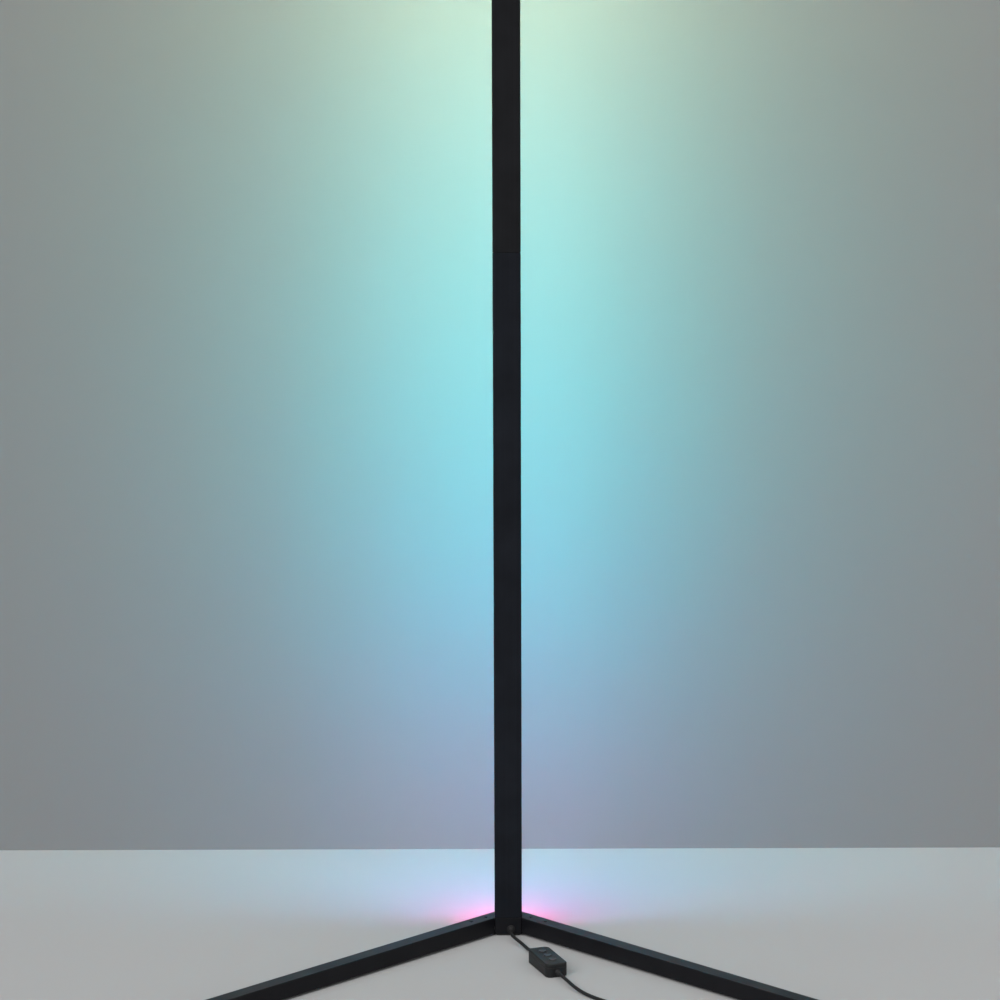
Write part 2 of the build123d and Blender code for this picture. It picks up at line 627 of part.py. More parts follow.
def coil_state(turns):
    """Radius and height of the coil after a number of turns, spiralling in and out by layers."""
    span = COIL_SPIRAL_TURNS + COIL_CLIMB_TURNS
    layer = min(int(turns / span), COIL_LAYERS - 1)
    into = turns - layer * span
    spiral = min(into, COIL_SPIRAL_TURNS) * COIL_TURN_STEP
    climb = max(into - COIL_SPIRAL_TURNS, 0) / COIL_CLIMB_TURNS
    inner = COIL_OUTER_RADIUS - COIL_SPIRAL_TURNS * COIL_TURN_STEP
    radius = COIL_OUTER_RADIUS - spiral if layer % 2 == 0 else inner + spiral
    return radius, COIL_FIRST_HEIGHT + (layer + climb) * COIL_LAYER_STEP


def coil_point(turns):
    """Point of the coil's centre line, winding clockwise seen from above."""
    radius, height = coil_state(min(max(turns, 0), COIL_TURNS))
    angle = -2 * math.pi * turns
    x = COIL_CENTRE[0] + radius * math.cos(angle)
    return Vector(x, COIL_CENTRE[1] + radius * math.sin(angle), height)


def coil_direction(turns):
    """Unit direction of the coil's centre line."""
    step = COIL_BIARC_TURNS / 2
    radius = coil_state(turns)[0]
    before = coil_state(max(turns - step, 0))
    after = coil_state(min(turns + step, COIL_TURNS))
    share = min(turns + step, COIL_TURNS) - max(turns - step, 0)
    angle = -2 * math.pi * turns
    outward = Vector(math.cos(angle), math.sin(angle), 0) * ((after[0] - before[0]) / share)
    around = Vector(math.sin(angle), -math.cos(angle), 0) * (2 * math.pi * radius)
    rise = Vector(0, 0, (after[1] - before[1]) / share)
    if turns in (0, COIL_TURNS):
        rise = Vector(0, 0, 0)
    return (outward + around + rise).normalized()


def biarc(start, start_way, end, end_way):
    """Two tangent arcs between two points with given directions."""
    chord = end - start
    ways = start_way + end_way
    square = 2 * (start_way.dot(end_way) - 1)
    linear = -2 * chord.dot(ways)
    constant = chord.dot(chord)
    root = math.sqrt(linear * linear - 4 * square * constant)
    reach = (-linear - root) / (2 * square)
    middle = (start + end + (start_way - end_way) * reach) * 0.5
    first = Edge.make_tangent_arc(start, start_way, middle)
    return [first, Edge.make_tangent_arc(middle, first % 1, end)]


def coil_end(turns, side):
    """Outer end of the coil's straight lead, one cord diameter long."""
    return coil_point(turns) + coil_direction(turns) * (side * CORD_DIAMETER)


def least_gap(path, samples):
    """Least gap of the coil to itself, between points at least half a turn apart."""
    points = [tuple(path.position_at(k / samples)) for k in range(samples + 1)]
    apart = int(samples / COIL_TURNS / 2)
    nearest = min(
        math.dist(points[a], points[b])
        for a in range(samples)
        for b in range(a + apart, samples + 1)
    )
    return nearest - CORD_DIAMETER


def lead_coil():
    """Loops of the put-away lead: one tube in four layers, spiralling in and out."""
    count = round(COIL_TURNS / COIL_BIARC_TURNS)
    marks = [COIL_TURNS * k / count for k in range(count + 1)]
    edges = [Line(coil_end(0, -1), coil_point(0)).edge()]
    for before, after in zip(marks, marks[1:]):
        edges += biarc(
            coil_point(before), coil_direction(before), coil_point(after), coil_direction(after)
        )
    edges.append(Line(coil_point(COIL_TURNS), coil_end(COIL_TURNS, 1)).edge())
    path = Wire(edges)
    start = Plane(origin=coil_end(0, -1), z_dir=coil_direction(0))
    tube = sweep(start * Circle(CORD_DIAMETER / 2), path=path)
    samples_per_turn = 60
    gap = least_gap(path, int(COIL_TURNS * samples_per_turn))
    expected = math.pi * CORD_DIAMETER**2 / 4 * path.length
    print("lead_coil least gap", round(gap, 3), "length", round(path.length, 1))
    print("lead_coil volume share", round(tube.volume / expected, 4))
    return tube


def coil_tie():
    """Flat strap closed round the coil's bundle."""
    inner = COIL_OUTER_RADIUS - COIL_SPIRAL_TURNS * COIL_TURN_STEP
    margin = CORD_DIAMETER / 2 + TIE_CLEARANCE
    half = TIE_WIDTH / 2
    low = math.sqrt((inner - CORD_DIAMETER / 2) ** 2 - half**2) - TIE_CLEARANCE
    high = COIL_OUTER_RADIUS + margin
    top = COIL_FIRST_HEIGHT + (COIL_LAYERS - 1) * COIL_LAYER_STEP + margin
    outer = (low - TIE_THICKNESS, high + TIE_THICKNESS)
    strap = block(outer, (-half, half), (0, top + TIE_THICKNESS))
    strap -= block((low, high), (-half, half), (TIE_THICKNESS, top))
    return Location((*COIL_CENTRE, 0), (0, 0, COIL_TIE_ANGLE)) * strap


def at_plug(shape):
    """Place a plug piece, drawn along X from the tip of its boot."""
    return Location((*PLUG_PLACE, PLUG_HEIGHT), (0, 0, PLUG_ANGLE)) * shape


def plug_grip():
    """Moulded grip with a boot for the cord and a pocket for the shell."""
    front = PLUG_BOOT_LENGTH + PLUG_GRIP_LENGTH
    half_width = PLUG_GRIP_WIDTH / 2
    half_height = PLUG_GRIP_HEIGHT / 2
    grip = block((PLUG_BOOT_LENGTH, front), (-half_width, half_width), (-half_height, half_height))
    grip = fillet(grip.edges(), PLUG_GRIP_RADIUS)
    boot = taper((0, 0, 0), (1, 0, 0), PLUG_TIP_DIAMETER, PLUG_BOOT_DIAMETER, PLUG_BOOT_LENGTH)
    grip += boot
    pocket_width = PLUG_SHELL_WIDTH / 2 + SCREW_FIT
    pocket_height = PLUG_SHELL_HEIGHT / 2 + SCREW_FIT
    grip -= block(
        (front - PLUG_SHELL_SEAT, front),
        (-pocket_width, pocket_width),
        (-pocket_height, pocket_height),
    )
    return at_plug(grip)


def plug_shell():
    """Folded steel shell of the plug, with two latch windows in each broad side."""
    back = PLUG_BOOT_LENGTH + PLUG_GRIP_LENGTH - PLUG_SHELL_SEAT
    along = (back, back + PLUG_SHELL_SEAT + PLUG_SHELL_REACH)
    half_width = PLUG_SHELL_WIDTH / 2
    half_height = PLUG_SHELL_HEIGHT / 2
    shell = block(along, (-half_width, half_width), (-half_height, half_height))
    half_width -= PLUG_SHELL_WALL
    half_height -= PLUG_SHELL_WALL
    shell -= block(along, (-half_width, half_width), (-half_height, half_height))
    window_front = along[1] - PLUG_WINDOW_SETBACK
    window_along = (window_front - PLUG_WINDOW_LENGTH, window_front)
    half_window = PLUG_WINDOW_WIDTH / 2
    for side in (-1, 1):
        middle = side * PLUG_WINDOW_PITCH / 2
        across = (middle - half_window, middle + half_window)
        shell -= block(window_along, across, (-PLUG_SHELL_HEIGHT, PLUG_SHELL_HEIGHT))
    return at_plug(shell)


def tongue_limits():
    """Ends, half width and lower face of the plug's tongue."""
    back = PLUG_BOOT_LENGTH + PLUG_GRIP_LENGTH - PLUG_SHELL_SEAT
    front = back + PLUG_SHELL_SEAT + PLUG_SHELL_REACH - PLUG_TONGUE_SETBACK
    half = PLUG_SHELL_WIDTH / 2 - PLUG_SHELL_WALL - SCREW_FIT
    top = PLUG_SHELL_HEIGHT / 2 - PLUG_SHELL_WALL - SCREW_FIT
    return back, front, half, top - PLUG_TONGUE_THICKNESS, top


def plug_tongue():
    """Insulating tongue in the upper half of the shell."""
    back, front, half, low, top = tongue_limits()
    return at_plug(block((back, front), (-half, half), (low, top)))


def plug_contacts():
    """Flat contacts under the tongue."""
    front = tongue_limits()[1]
    low = tongue_limits()[3]
    half = CONTACT_WIDTH / 2
    along = (front - PLUG_TONGUE_SETBACK - CONTACT_LENGTH, front - PLUG_TONGUE_SETBACK)
    strips = []
    for k in range(CONTACT_COUNT):
        y = (k - (CONTACT_COUNT - 1) / 2) * CONTACT_PITCH
        strips.append(at_plug(block(along, (y - half, y + half), (low - CONTACT_THICKNESS, low))))
    return Compound(strips)


def lamp_lead():
    """Cord from the gland to the controller."""
    start = Vector(GLAND_OFFSET, GLAND_TIP, GLAND_HEIGHT)
    leave = start - Vector(0, LAMP_LEAD_START_RUN, 0)
    end = boot_tip(-1)
    approach = end - level_direction(CONTROLLER_ANGLE) * LAMP_LEAD_END_RUN
    return cord_tube("lamp_lead", [start, leave, *LAMP_LEAD_POINTS, approach, end])


def supply_lead():
    """Cord from the controller to the coil."""
    start = boot_tip(1)
    leave = start + level_direction(CONTROLLER_ANGLE) * SUPPLY_LEAD_START_RUN
    end = coil_end(0, -1)
    approach = end - coil_direction(0) * SUPPLY_LEAD_END_RUN
    return cord_tube("supply_lead", [start, leave, *SUPPLY_LEAD_POINTS, approach, end])


def plug_tail():
    """Cord from the coil to the plug."""
    start = coil_end(COIL_TURNS, 1)
    leave = start + coil_direction(COIL_TURNS) * TAIL_START_RUN
    end = Vector(*PLUG_PLACE, PLUG_HEIGHT)
    approach = end - level_direction(PLUG_ANGLE) * TAIL_END_RUN
    return cord_tube("plug_tail", [start, leave, *PLUG_TAIL_POINTS, approach, end])


def lamp_parts():
    """Every piece of the lamp by its node name."""
    parts = {
        "base_hub": base_hub(),
        "left_leg": leg(-1),
        "right_leg": leg(1),
        "leg_screws": leg_screws(),
        "hub_foot": hub_foot(),
        "left_foot": leg_foot(-1),
        "right_foot": leg_foot(1),
        "pole_screws": pole_screws(),
        "top_cap": top_cap(),
        "cord_gland": cord_gland(),
        "inner_lead": inner_lead(),
        "lamp_lead": lamp_lead(),
        "controller_base": controller_base(),
        "controller_lid": controller_lid(),
        "controller_board": controller_board(),
        "controller_switches": controller_switches(),
        "lamp_side_boot": controller_boot(-1),
        "plug_side_boot": controller_boot(1),
        "supply_lead": supply_lead(),
        "lead_coil": lead_coil(),
        "coil_tie": coil_tie(),
        "plug_tail": plug_tail(),
        "plug_grip": plug_grip(),
        "plug_shell": plug_shell(),
        "plug_tongue": plug_tongue(),
        "plug_contacts": plug_contacts(),
    }
    for index, name in enumerate(SECTION_NAMES):
        parts[name + "_profile"] = profile(index)
        parts[name + "_diffuser"] = diffuser(index)
        parts[name + "_led_board"] = led_board(index)
        parts[name + "_leds"] = leds(index)
    for joint in range(1, len(SECTION_NAMES)):
        name = SECTION_NAMES[joint]
        parts[name + "_joint_bar"] = joint_bar(joint)
        parts[name + "_joint_header"] = joint_header(joint)
        parts[name + "_joint_socket"] = joint_socket(joint)
    for name, place in zip(BUTTON_NAMES, BUTTON_PLACES):
        parts[name + "_button"] = button(place)
        parts[name + "_plunger"] = switch_plunger(place)
    return parts


os.makedirs("parts", exist_ok=True)
for node, shape in lamp_parts().items():
    export_step(shape, f"parts/{node}.step")
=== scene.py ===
"""Looks of a slim corner floor lamp: a square LED pole on a V-shaped foot, with cord, controller and plug.

All sizes are in metres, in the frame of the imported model: +Z up the pole, the legs open towards -Y and
the light strip faces +Y.
"""

import json
import logging
import math
from dataclasses import dataclass
from dataclasses import field
from enum import Enum
from typing import Any

import bpy
import numpy as np
from mathutils import Matrix
from mathutils import Vector


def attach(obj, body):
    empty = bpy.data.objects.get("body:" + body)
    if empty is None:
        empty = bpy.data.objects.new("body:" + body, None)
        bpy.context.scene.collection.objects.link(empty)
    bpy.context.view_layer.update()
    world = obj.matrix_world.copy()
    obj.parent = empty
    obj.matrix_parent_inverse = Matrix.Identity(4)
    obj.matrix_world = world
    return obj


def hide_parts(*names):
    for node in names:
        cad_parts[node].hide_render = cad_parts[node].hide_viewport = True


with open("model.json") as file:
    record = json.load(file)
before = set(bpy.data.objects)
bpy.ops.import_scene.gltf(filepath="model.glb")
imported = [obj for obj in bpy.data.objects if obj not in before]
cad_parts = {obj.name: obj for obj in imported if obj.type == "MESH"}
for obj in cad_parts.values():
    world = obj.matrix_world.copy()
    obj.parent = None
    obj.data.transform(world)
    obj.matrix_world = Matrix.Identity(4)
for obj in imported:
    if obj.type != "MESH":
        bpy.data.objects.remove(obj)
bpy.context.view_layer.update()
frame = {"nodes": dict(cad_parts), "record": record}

log = logging.getLogger("floor_lamp")

Colour = tuple[float, float, float]
Point = tuple[float, float, float]
Piece = bpy.types.Object
Socket = bpy.types.NodeSocket

MM = 0.001
LAMP_BODY = "lamp"

# Places of the colour sockets on a Mix node
MIX_PAINTS = (6, 7)
MIX_RESULT = 2


# Node trees


class Graph:
    """Short-hand for laying out the nodes of one shader tree."""

    def __init__(self, tree: bpy.types.NodeTree) -> None:
        """Keep the tree that the nodes go into."""
        self.tree = tree

    def node(self, kind: str, inputs: dict[Any, Any], **settings: Any) -> bpy.types.Node:
        """Add one node.

        Args:
            kind: Blender's name of the node's type.
            inputs: values or sockets for its inputs, by socket name or index.
            settings: properties of the node.

        Returns:
            The new node.
        """
        made = self.tree.nodes.new(kind)
        for name, value in settings.items():
            setattr(made, name, value)
        for name, value in inputs.items():
            if isinstance(value, Socket):
                self.tree.links.new(value, made.inputs[name])
            else:
                made.inputs[name].default_value = value
        return made

    def math(self, operation: str, first: Any, second: Any = 0.0) -> Socket:
        """Result of a Math node on two values or sockets."""
        return self.node("ShaderNodeMath", {0: first, 1: second}, operation=operation).outputs[0]

    def blend(self, first: Socket, second: Socket, share: float) -> Socket:
        """Value between two values, by the second one's share."""
        kept = self.math("MULTIPLY", first, 1.0 - share)
        return self.math("ADD", kept, self.math("MULTIPLY", second, share))

    def spread(
        self, value: Socket, start: float = 0.0, end: float = 1.0, low: float = 0.0, high: float = 1.0
    ) -> Socket:
        """Value mapped from start..end to low..high, held at both ends."""
        inputs = {"Value": value, "From Min": start, "From Max": end, "To Min": low, "To Max": high}
        return self.node("ShaderNodeMapRange", inputs).outputs["Result"]

    def mix(self, share: Any, first: Any, second: Any, way: str = "MIX") -> Socket:
        """Colour between two colours.

        Args:
            share: the second colour's share, from 0 to 1.
            first: a colour or its socket.
            second: another one.
            way: Blender's name of the way to mix them.

        Returns:
            The mixed colour.
        """
        pair = [paint if isinstance(paint, Socket) else (*paint, 1.0) for paint in (first, second)]
        inputs = {0: share, **dict(zip(MIX_PAINTS, pair))}
        return self.node("ShaderNodeMix", inputs, data_type="RGBA", blend_type=way).outputs[MIX_RESULT]

    def noise(self, place: Socket, scale: float, detail: float = 2.0) -> Socket:
        """Value of a noise texture."""
        inputs = {"Vector": place, "Scale": scale, "Detail": detail}
        return self.node("ShaderNodeTexNoise", inputs).outputs[0]

    def cells(self, place: Socket, scale: float) -> Socket:
        """Distance to the nearest point of a cell texture."""
        inputs = {"Vector": place, "Scale": scale}
        return self.node("ShaderNodeTexVoronoi", inputs, feature="F1").outputs["Distance"]

    def stretch(self, place: Socket, scale: Any) -> Socket:
        """Coordinates multiplied by a scale along each axis."""
        return self.node("ShaderNodeVectorMath", {0: place, 1: scale}, operation="MULTIPLY").outputs[0]

    def axes(self, place: Socket) -> tuple[Socket, Socket, Socket]:
        """The three parts of a vector."""
        parts = self.node("ShaderNodeSeparateXYZ", {0: place}).outputs
        return parts[0], parts[1], parts[2]

    def facing(self, kind: str = "Normal") -> Socket:
        """An output of the Geometry node, by its name."""
        return self.node("ShaderNodeNewGeometry", {}).outputs[kind]

    def object_place(self, turn: float = 0.0) -> Socket:
        """Object coordinates that are turned about Z.

        Args:
            turn: angle in degrees of the direction that becomes +X.

        Returns:
            The coordinates.
        """
        source = self.node("ShaderNodeTexCoord", {}).outputs["Object"]
        inputs = {"Vector": source, "Rotation": (0.0, 0.0, math.radians(turn))}
        return self.node("ShaderNodeMapping", inputs, vector_type="TEXTURE").outputs[0]


def blank_material(name: str) -> tuple[bpy.types.Material, Graph]:
    """New material without nodes.

    Args:
        name: the material's name.

    Returns:
        The material, and the graph that fills it.
    """
    made = bpy.data.materials.new(name)
    made.use_nodes = True
    made.node_tree.nodes.clear()
    return made, Graph(made.node_tree)


def even(scale: float) -> Point:
    """Features per metre that are alike on every axis."""
    return (scale, scale, scale)


def drawn(scale: float, along: float) -> Point:
    """Features per metre of lines drawn along Z."""
    return (scale, scale, along)


class Effect(Enum):
    """Surface effects that several finishes share, each built once as a node group."""

    GRAIN = "moulded grain"
    LINES = "drawn lines"
    DUST = "settled dust"
    EDGES = "rubbed edges"

    def on(self, graph: Graph, place: Socket, scale: Point) -> Socket:
        """Place the effect in a material, with its node group built on first use.

        Args:
            graph: the material's nodes.
            place: coordinates that it works on.
            scale: its features per metre along each axis.

        Returns:
            The effect's value, from 0 to 1.
        """
        group = bpy.data.node_groups.get(self.value) or self.build()
        inputs = {"Place": place, "Scale": scale}
        return graph.node("ShaderNodeGroup", inputs, node_tree=group).outputs["Value"]

    def build(self) -> bpy.types.NodeTree:
        """Make the node group with its sockets and nodes.

        Returns:
            The new group, which puts out one value.
        """
        tree = bpy.data.node_groups.new(self.value, "ShaderNodeTree")
        for name in ("Place", "Scale"):
            tree.interface.new_socket(name, in_out="INPUT", socket_type="NodeSocketVector")
        tree.interface.new_socket("Value", in_out="OUTPUT", socket_type="NodeSocketFloat")
        graph = Graph(tree)
        sockets = graph.node("NodeGroupInput", {}).outputs
        makers = {
            Effect.GRAIN: self.grain,
            Effect.LINES: self.lines,
            Effect.DUST: self.dust,
            Effect.EDGES: self.edges,
        }
        spot = graph.stretch(sockets["Place"], sockets["Scale"])
        graph.node("NodeGroupOutput", {"Value": makers[self](graph, spot)})
        return tree

    @staticmethod
    def grain(graph: Graph, spot: Socket) -> Socket:
        """Pebbled skin of a moulded part: soft noise with shallow cells in it."""
        soft = graph.noise(spot, scale=1.0, detail=2.5)
        return graph.blend(soft, graph.cells(spot, scale=0.9), share=0.35)

    @staticmethod
    def lines(graph: Graph, spot: Socket) -> Socket:
        """Fine lines along one axis: noise pulled out along the axis with the small scale.

        Args:
            graph: the group's nodes.
            spot: scaled coordinates.

        Returns:
            The value.
        """
        fine = graph.noise(spot, scale=1.0, detail=3.0)
        broad = graph.noise(spot, scale=0.16, detail=1.0)
        return graph.blend(fine, broad, share=0.3)

    @staticmethod
    def dust(graph: Graph, spot: Socket) -> Socket:
        """Loose dust that lies on faces which look up, in soft patches and specks.

        Args:
            graph: the group's nodes.
            spot: scaled coordinates.

        Returns:
            The value.
        """
        upward = graph.spread(graph.axes(graph.facing())[2], start=0.55, end=0.98)
        patch = graph.spread(graph.noise(spot, scale=0.08, detail=3.0), start=0.38, end=0.7, low=0.15)
        speck = graph.spread(graph.noise(spot, scale=4.0, detail=1.0), start=0.62, end=0.72)
        return graph.math("MULTIPLY", upward, graph.blend(patch, speck, share=0.55))

    @staticmethod
    def edges(graph: Graph, spot: Socket) -> Socket:
        """Rubbed edges: where a rounded-off normal turns away from the face's own, in patches.

        Args:
            graph: the group's nodes.
            spot: scaled coordinates.

        Returns:
            The value.
        """
        rounded_off = graph.node("ShaderNodeBevel", {"Radius": 0.35 * MM}, samples=4).outputs[0]
        pair = {0: rounded_off, 1: graph.facing()}
        likeness = graph.node("ShaderNodeVectorMath", pair, operation="DOT_PRODUCT").outputs["Value"]
        turned_off = graph.spread(likeness, start=0.72, end=0.97, low=1.0, high=0.0)
        patch = graph.spread(graph.noise(spot, scale=1.0, detail=4.0), start=0.4, end=0.68, low=0.1)
        return graph.math("MULTIPLY", turned_off, patch)


# Finishes


class Skin(Enum):
    """Kinds of small surface form that a finish can have."""

    GRAINED = "grained"
    DRAWN = "drawn"
    PEEL = "orange peel"
    JACKET = "extruded jacket"


@dataclass(frozen=True)
class Finish:
    """Finish of one material slot: two close tones over a fine skin, with rubbed edges and dust.

    Scales are features per metre, the skin's own along each axis.
    """

    slot: str
    colour: Colour
    second: Colour
    roughness: tuple[float, float]
    scale: Point
    depth: float
    skin: Skin = Skin.GRAINED
    metallic: float = 0.0
    specular: float = 0.5
    coat: float = 0.0
    coat_roughness: float = 0.3
    cloud_scale: float = 42.0
    rubbed: float = 0.0
    rubbed_scale: float = 260.0
    bare: Colour = (0.1, 0.1, 0.105)
    dust: float = 0.0
    dust_scale: float = 700.0
    dust_roughness: float = 0.35
    dust_colour: Colour = (0.2, 0.19, 0.175)
    turn: float = 0.0

    def pattern(self, graph: Graph, place: Socket) -> tuple[Socket, Socket]:
        """Tone and height of the skin, each from 0 to 1.

        Args:
            graph: the material's nodes.
            place: object coordinates.

        Returns:
            The tone, which sets colour and roughness, and the height of the bump.
        """
        cloud = graph.spread(graph.noise(place, self.cloud_scale, detail=4.0), start=0.3, end=0.7)
        if self.skin is Skin.DRAWN:
            line = Effect.LINES.on(graph, place, self.scale)
            return graph.spread(graph.blend(line, cloud, share=0.25), start=0.3, end=0.7), line
        if self.skin is Skin.GRAINED:
            grain = Effect.GRAIN.on(graph, place, self.scale)
            return graph.blend(cloud, grain, share=0.45), grain
        spot = graph.stretch(place, self.scale)
        if self.skin is Skin.PEEL:
            speck_height = 0.22
            wave = graph.noise(spot, scale=1.0, detail=1.0)
            speck = graph.noise(spot, scale=5.5, detail=1.0)
            height = graph.math("ADD", wave, graph.math("MULTIPLY", speck, speck_height))
            return graph.blend(cloud, speck, share=0.4), height
        wave = graph.noise(spot, scale=0.12)
        pore = graph.noise(spot, scale=1.0)
        return graph.blend(cloud, pore, share=0.5), graph.blend(wave, pore, share=0.6)

    def paint(self, graph: Graph, place: Socket, tone: Socket) -> Socket:
        """Colour of the clean surface at a tone."""
        return graph.mix(tone, self.colour, self.second)

    def light(self, graph: Graph, place: Socket, shader: bpy.types.Node) -> None:
        """Give the shader its own light; most finishes have none."""

    def material(self) -> bpy.types.Material:
        """Make the finish's material.

        Returns:
            The material, named after its slot.
        """
        made, graph = blank_material(self.slot)
        place = graph.object_place(self.turn)
        tone, height = self.pattern(graph, place)
        paint = self.paint(graph, place, tone)
        smooth, coarse = self.roughness
        rough = graph.spread(tone, low=smooth, high=coarse)
        if self.rubbed > 0:
            worn = Effect.EDGES.on(graph, place, even(self.rubbed_scale))
            paint = graph.mix(graph.math("MULTIPLY", worn, self.rubbed), paint, self.bare)
        if self.dust > 0:
            fallen = Effect.DUST.on(graph, place, even(self.dust_scale))
            fallen = graph.math("MULTIPLY", fallen, self.dust)
            paint = graph.mix(fallen, paint, self.dust_colour)
            rough = graph.math("ADD", rough, graph.math("MULTIPLY", fallen, self.dust_roughness))
        bump = graph.node("ShaderNodeBump", {"Strength": 1.0, "Distance": self.depth, "Height": height})
        looks = {
            "Base Color": paint,
            "Roughness": rough,
            "Metallic": self.metallic,
            "Specular IOR Level": self.specular,
            "Coat Weight": self.coat,
            "Coat Roughness": self.coat_roughness,
            "Normal": bump.outputs["Normal"],
        }
        shader = graph.node("ShaderNodeBsdfPrincipled", looks)
        self.light(graph, place, shader)
        graph.node("ShaderNodeOutputMaterial", {"Surface": shader.outputs["BSDF"]})
        return made


@dataclass(frozen=True)
class StripSizes:
    """Where the light strip runs and how its LEDs are spaced."""

    foot: float = 13.5 * MM
    section: float = 488.0 * MM
    sections: int = 3
    pitch: float = 16.5 * MM
    per_section: int = 28
    half_width: float = 8.3 * MM

    def top(self) -> float:
        """Height of the strip's upper end."""
        return self.foot + self.section * self.sections

    def above_foot(self, graph: Graph, height: Socket) -> Socket:
        """Height above the strip's foot."""
        return graph.math("SUBTRACT", height, self.foot)

    def from_led(self, graph: Graph, height: Socket) -> Socket:
        """Distance along the strip to the nearest LED's middle.

        Args:
            graph: the material's nodes.
            height: object height.

        Returns:
            The distance in metres.
        """
        last = self.per_section - 1
        first_led = (self.section - last * self.pitch) / 2
        in_section = graph.math("MODULO", self.above_foot(graph, height), self.section)
        along = graph.math("SUBTRACT", in_section, first_led)
        steps = graph.math("ROUND", graph.math("DIVIDE", along, self.pitch))
        steps = graph.math("MINIMUM", graph.math("MAXIMUM", steps, 0.0), float(last))
        middle = graph.math("MULTIPLY", steps, self.pitch)
        return graph.math("ABSOLUTE", graph.math("SUBTRACT", along, middle))


@dataclass(frozen=True)
class AnodisedSections(Finish):
    """Drawn aluminium in dyed sections, of which every other one has a slightly less blue tone."""

    sizes: StripSizes = StripSizes()
    next_colour: Colour = (0.0, 0.0, 0.0)
    next_second: Colour = (0.0, 0.0, 0.0)

    def paint(self, graph: Graph, place: Socket, tone: Socket) -> Socket:
        """Tone of the section that a point is in.

        Args:
            graph: the material's nodes.
            place: object coordinates.
            tone: the skin's tone.

        Returns:
            The colour.
        """
        above = self.sizes.above_foot(graph, graph.axes(place)[2])
        count = graph.math("FLOOR", graph.math("DIVIDE", above, self.sizes.section))
        odd = graph.math("MODULO", count, 2.0)
        next_paint = graph.mix(tone, self.next_colour, self.next_second)
        return graph.mix(odd, super().paint(graph, place, tone), next_paint)


@dataclass(frozen=True)
class GlowStop:
    """One colour of the strip's run, at its height."""

    height: float
    colour: Colour


@dataclass(frozen=True)
class MilkyGlow(Finish):
    """Milky cover lit from behind: a run of colours up the pole, brighter over each LED.

    It is shown to the camera at one level and throws its light at another, and throws it only where the
    cover faces out of its channel.
    """

    sizes: StripSizes = StripSizes()
    stops: tuple[GlowStop, ...] = ()
    shown: float = 0.8
    thrown: float = 84.0
    between_leds: float = 0.7
    at_sides: float = 0.7
    outward_start: float = 0.1
    outward_end: float = 0.3

    def run(self, graph: Graph, height: Socket) -> Socket:
        """Run of colours up the pole, eased from one stop to the next.

        Args:
            graph: the material's nodes.
            height: object height.

        Returns:
            The colour at the height.
        """
        top = self.sizes.top()
        ramp = graph.node("ShaderNodeValToRGB", {"Fac": graph.spread(height, end=top)})
        ramp.color_ramp.interpolation = "EASE"
        elements = ramp.color_ramp.elements
        for element, stop in zip(elements, (self.stops[0], self.stops[-1])):
            element.position = stop.height / top
            element.color = (*stop.colour, 1.0)
        for stop in self.stops[1:-1]:
            elements.new(stop.height / top).color = (*stop.colour, 1.0)
        return ramp.outputs["Color"]

    def level(self, graph: Graph, across: Socket, height: Socket) -> Socket:
        """Strength of the light, fainter at the sides, between LEDs and at the section joints.

        Args:
            graph: the material's nodes.
            across: distance from the middle of the cover.
            height: object height.

        Returns:
            The strength, which for light that isn't seen directly is the thrown one.
        """
        from_led = self.sizes.from_led(graph, height)
        spot = graph.spread(from_led, end=self.sizes.pitch / 2, low=1.0, high=self.between_leds)
        side = graph.math("DIVIDE", across, self.sizes.half_width)
        fade = graph.spread(graph.math("MULTIPLY", side, side), low=1.0, high=self.at_sides)
        outward = graph.axes(graph.facing("True Normal"))[1]
        thrown = graph.spread(outward, start=self.outward_start, end=self.outward_end, high=self.thrown)
        camera = graph.node("ShaderNodeLightPath", {}).outputs["Is Camera Ray"]
        unseen = graph.math("MULTIPLY", graph.math("SUBTRACT", 1.0, camera), thrown)
        seen = graph.math("MULTIPLY", camera, self.shown)
        glow = graph.math("MULTIPLY", spot, fade)
        return graph.math("MULTIPLY", glow, graph.math("ADD", seen, unseen))

    def light(self, graph: Graph, place: Socket, shader: bpy.types.Node) -> None:
        """Emit the run of colours at its level.

        Args:
            graph: the material's nodes.
            place: object coordinates.
            shader: the cover's shader.
        """
        across, _, height = graph.axes(place)
        level = self.level(graph, across, height)
        grey = graph.node("ShaderNodeCombineColor", {0: level, 1: level, 2: level}).outputs[0]
        emitted = graph.mix(1.0, self.run(graph, height), grey, "MULTIPLY")
        graph.tree.links.new(emitted, shader.inputs["Emission Color"])
        shader.inputs["Emission Strength"].default_value = 1.0


@dataclass(frozen=True)
class PhosphorPackage(Finish):
    """White LED package with a round yellow phosphor window."""

    sizes: StripSizes = StripSizes()
    window: float = 1.9 * MM
    window_edge: float = 0.152 * MM
    phosphor: Colour = (0.86, 0.62, 0.08)

    def paint(self, graph: Graph, place: Socket, tone: Socket) -> Socket:
        """White body with the phosphor inside the window's radius.

        Args:
            graph: the material's nodes.
            place: object coordinates.
            tone: the skin's tone.

        Returns:
            The colour.
        """
        across, _, height = graph.axes(place)
        along = self.sizes.from_led(graph, height)
        squares = [graph.math("MULTIPLY", reach, reach) for reach in (across, along)]
        radius = graph.math("SQRT", graph.math("ADD", *squares))
        inside = graph.spread(radius, self.window - self.window_edge, self.window, low=1.0, high=0.0)
        return graph.mix(inside, super().paint(graph, place, tone), self.phosphor)


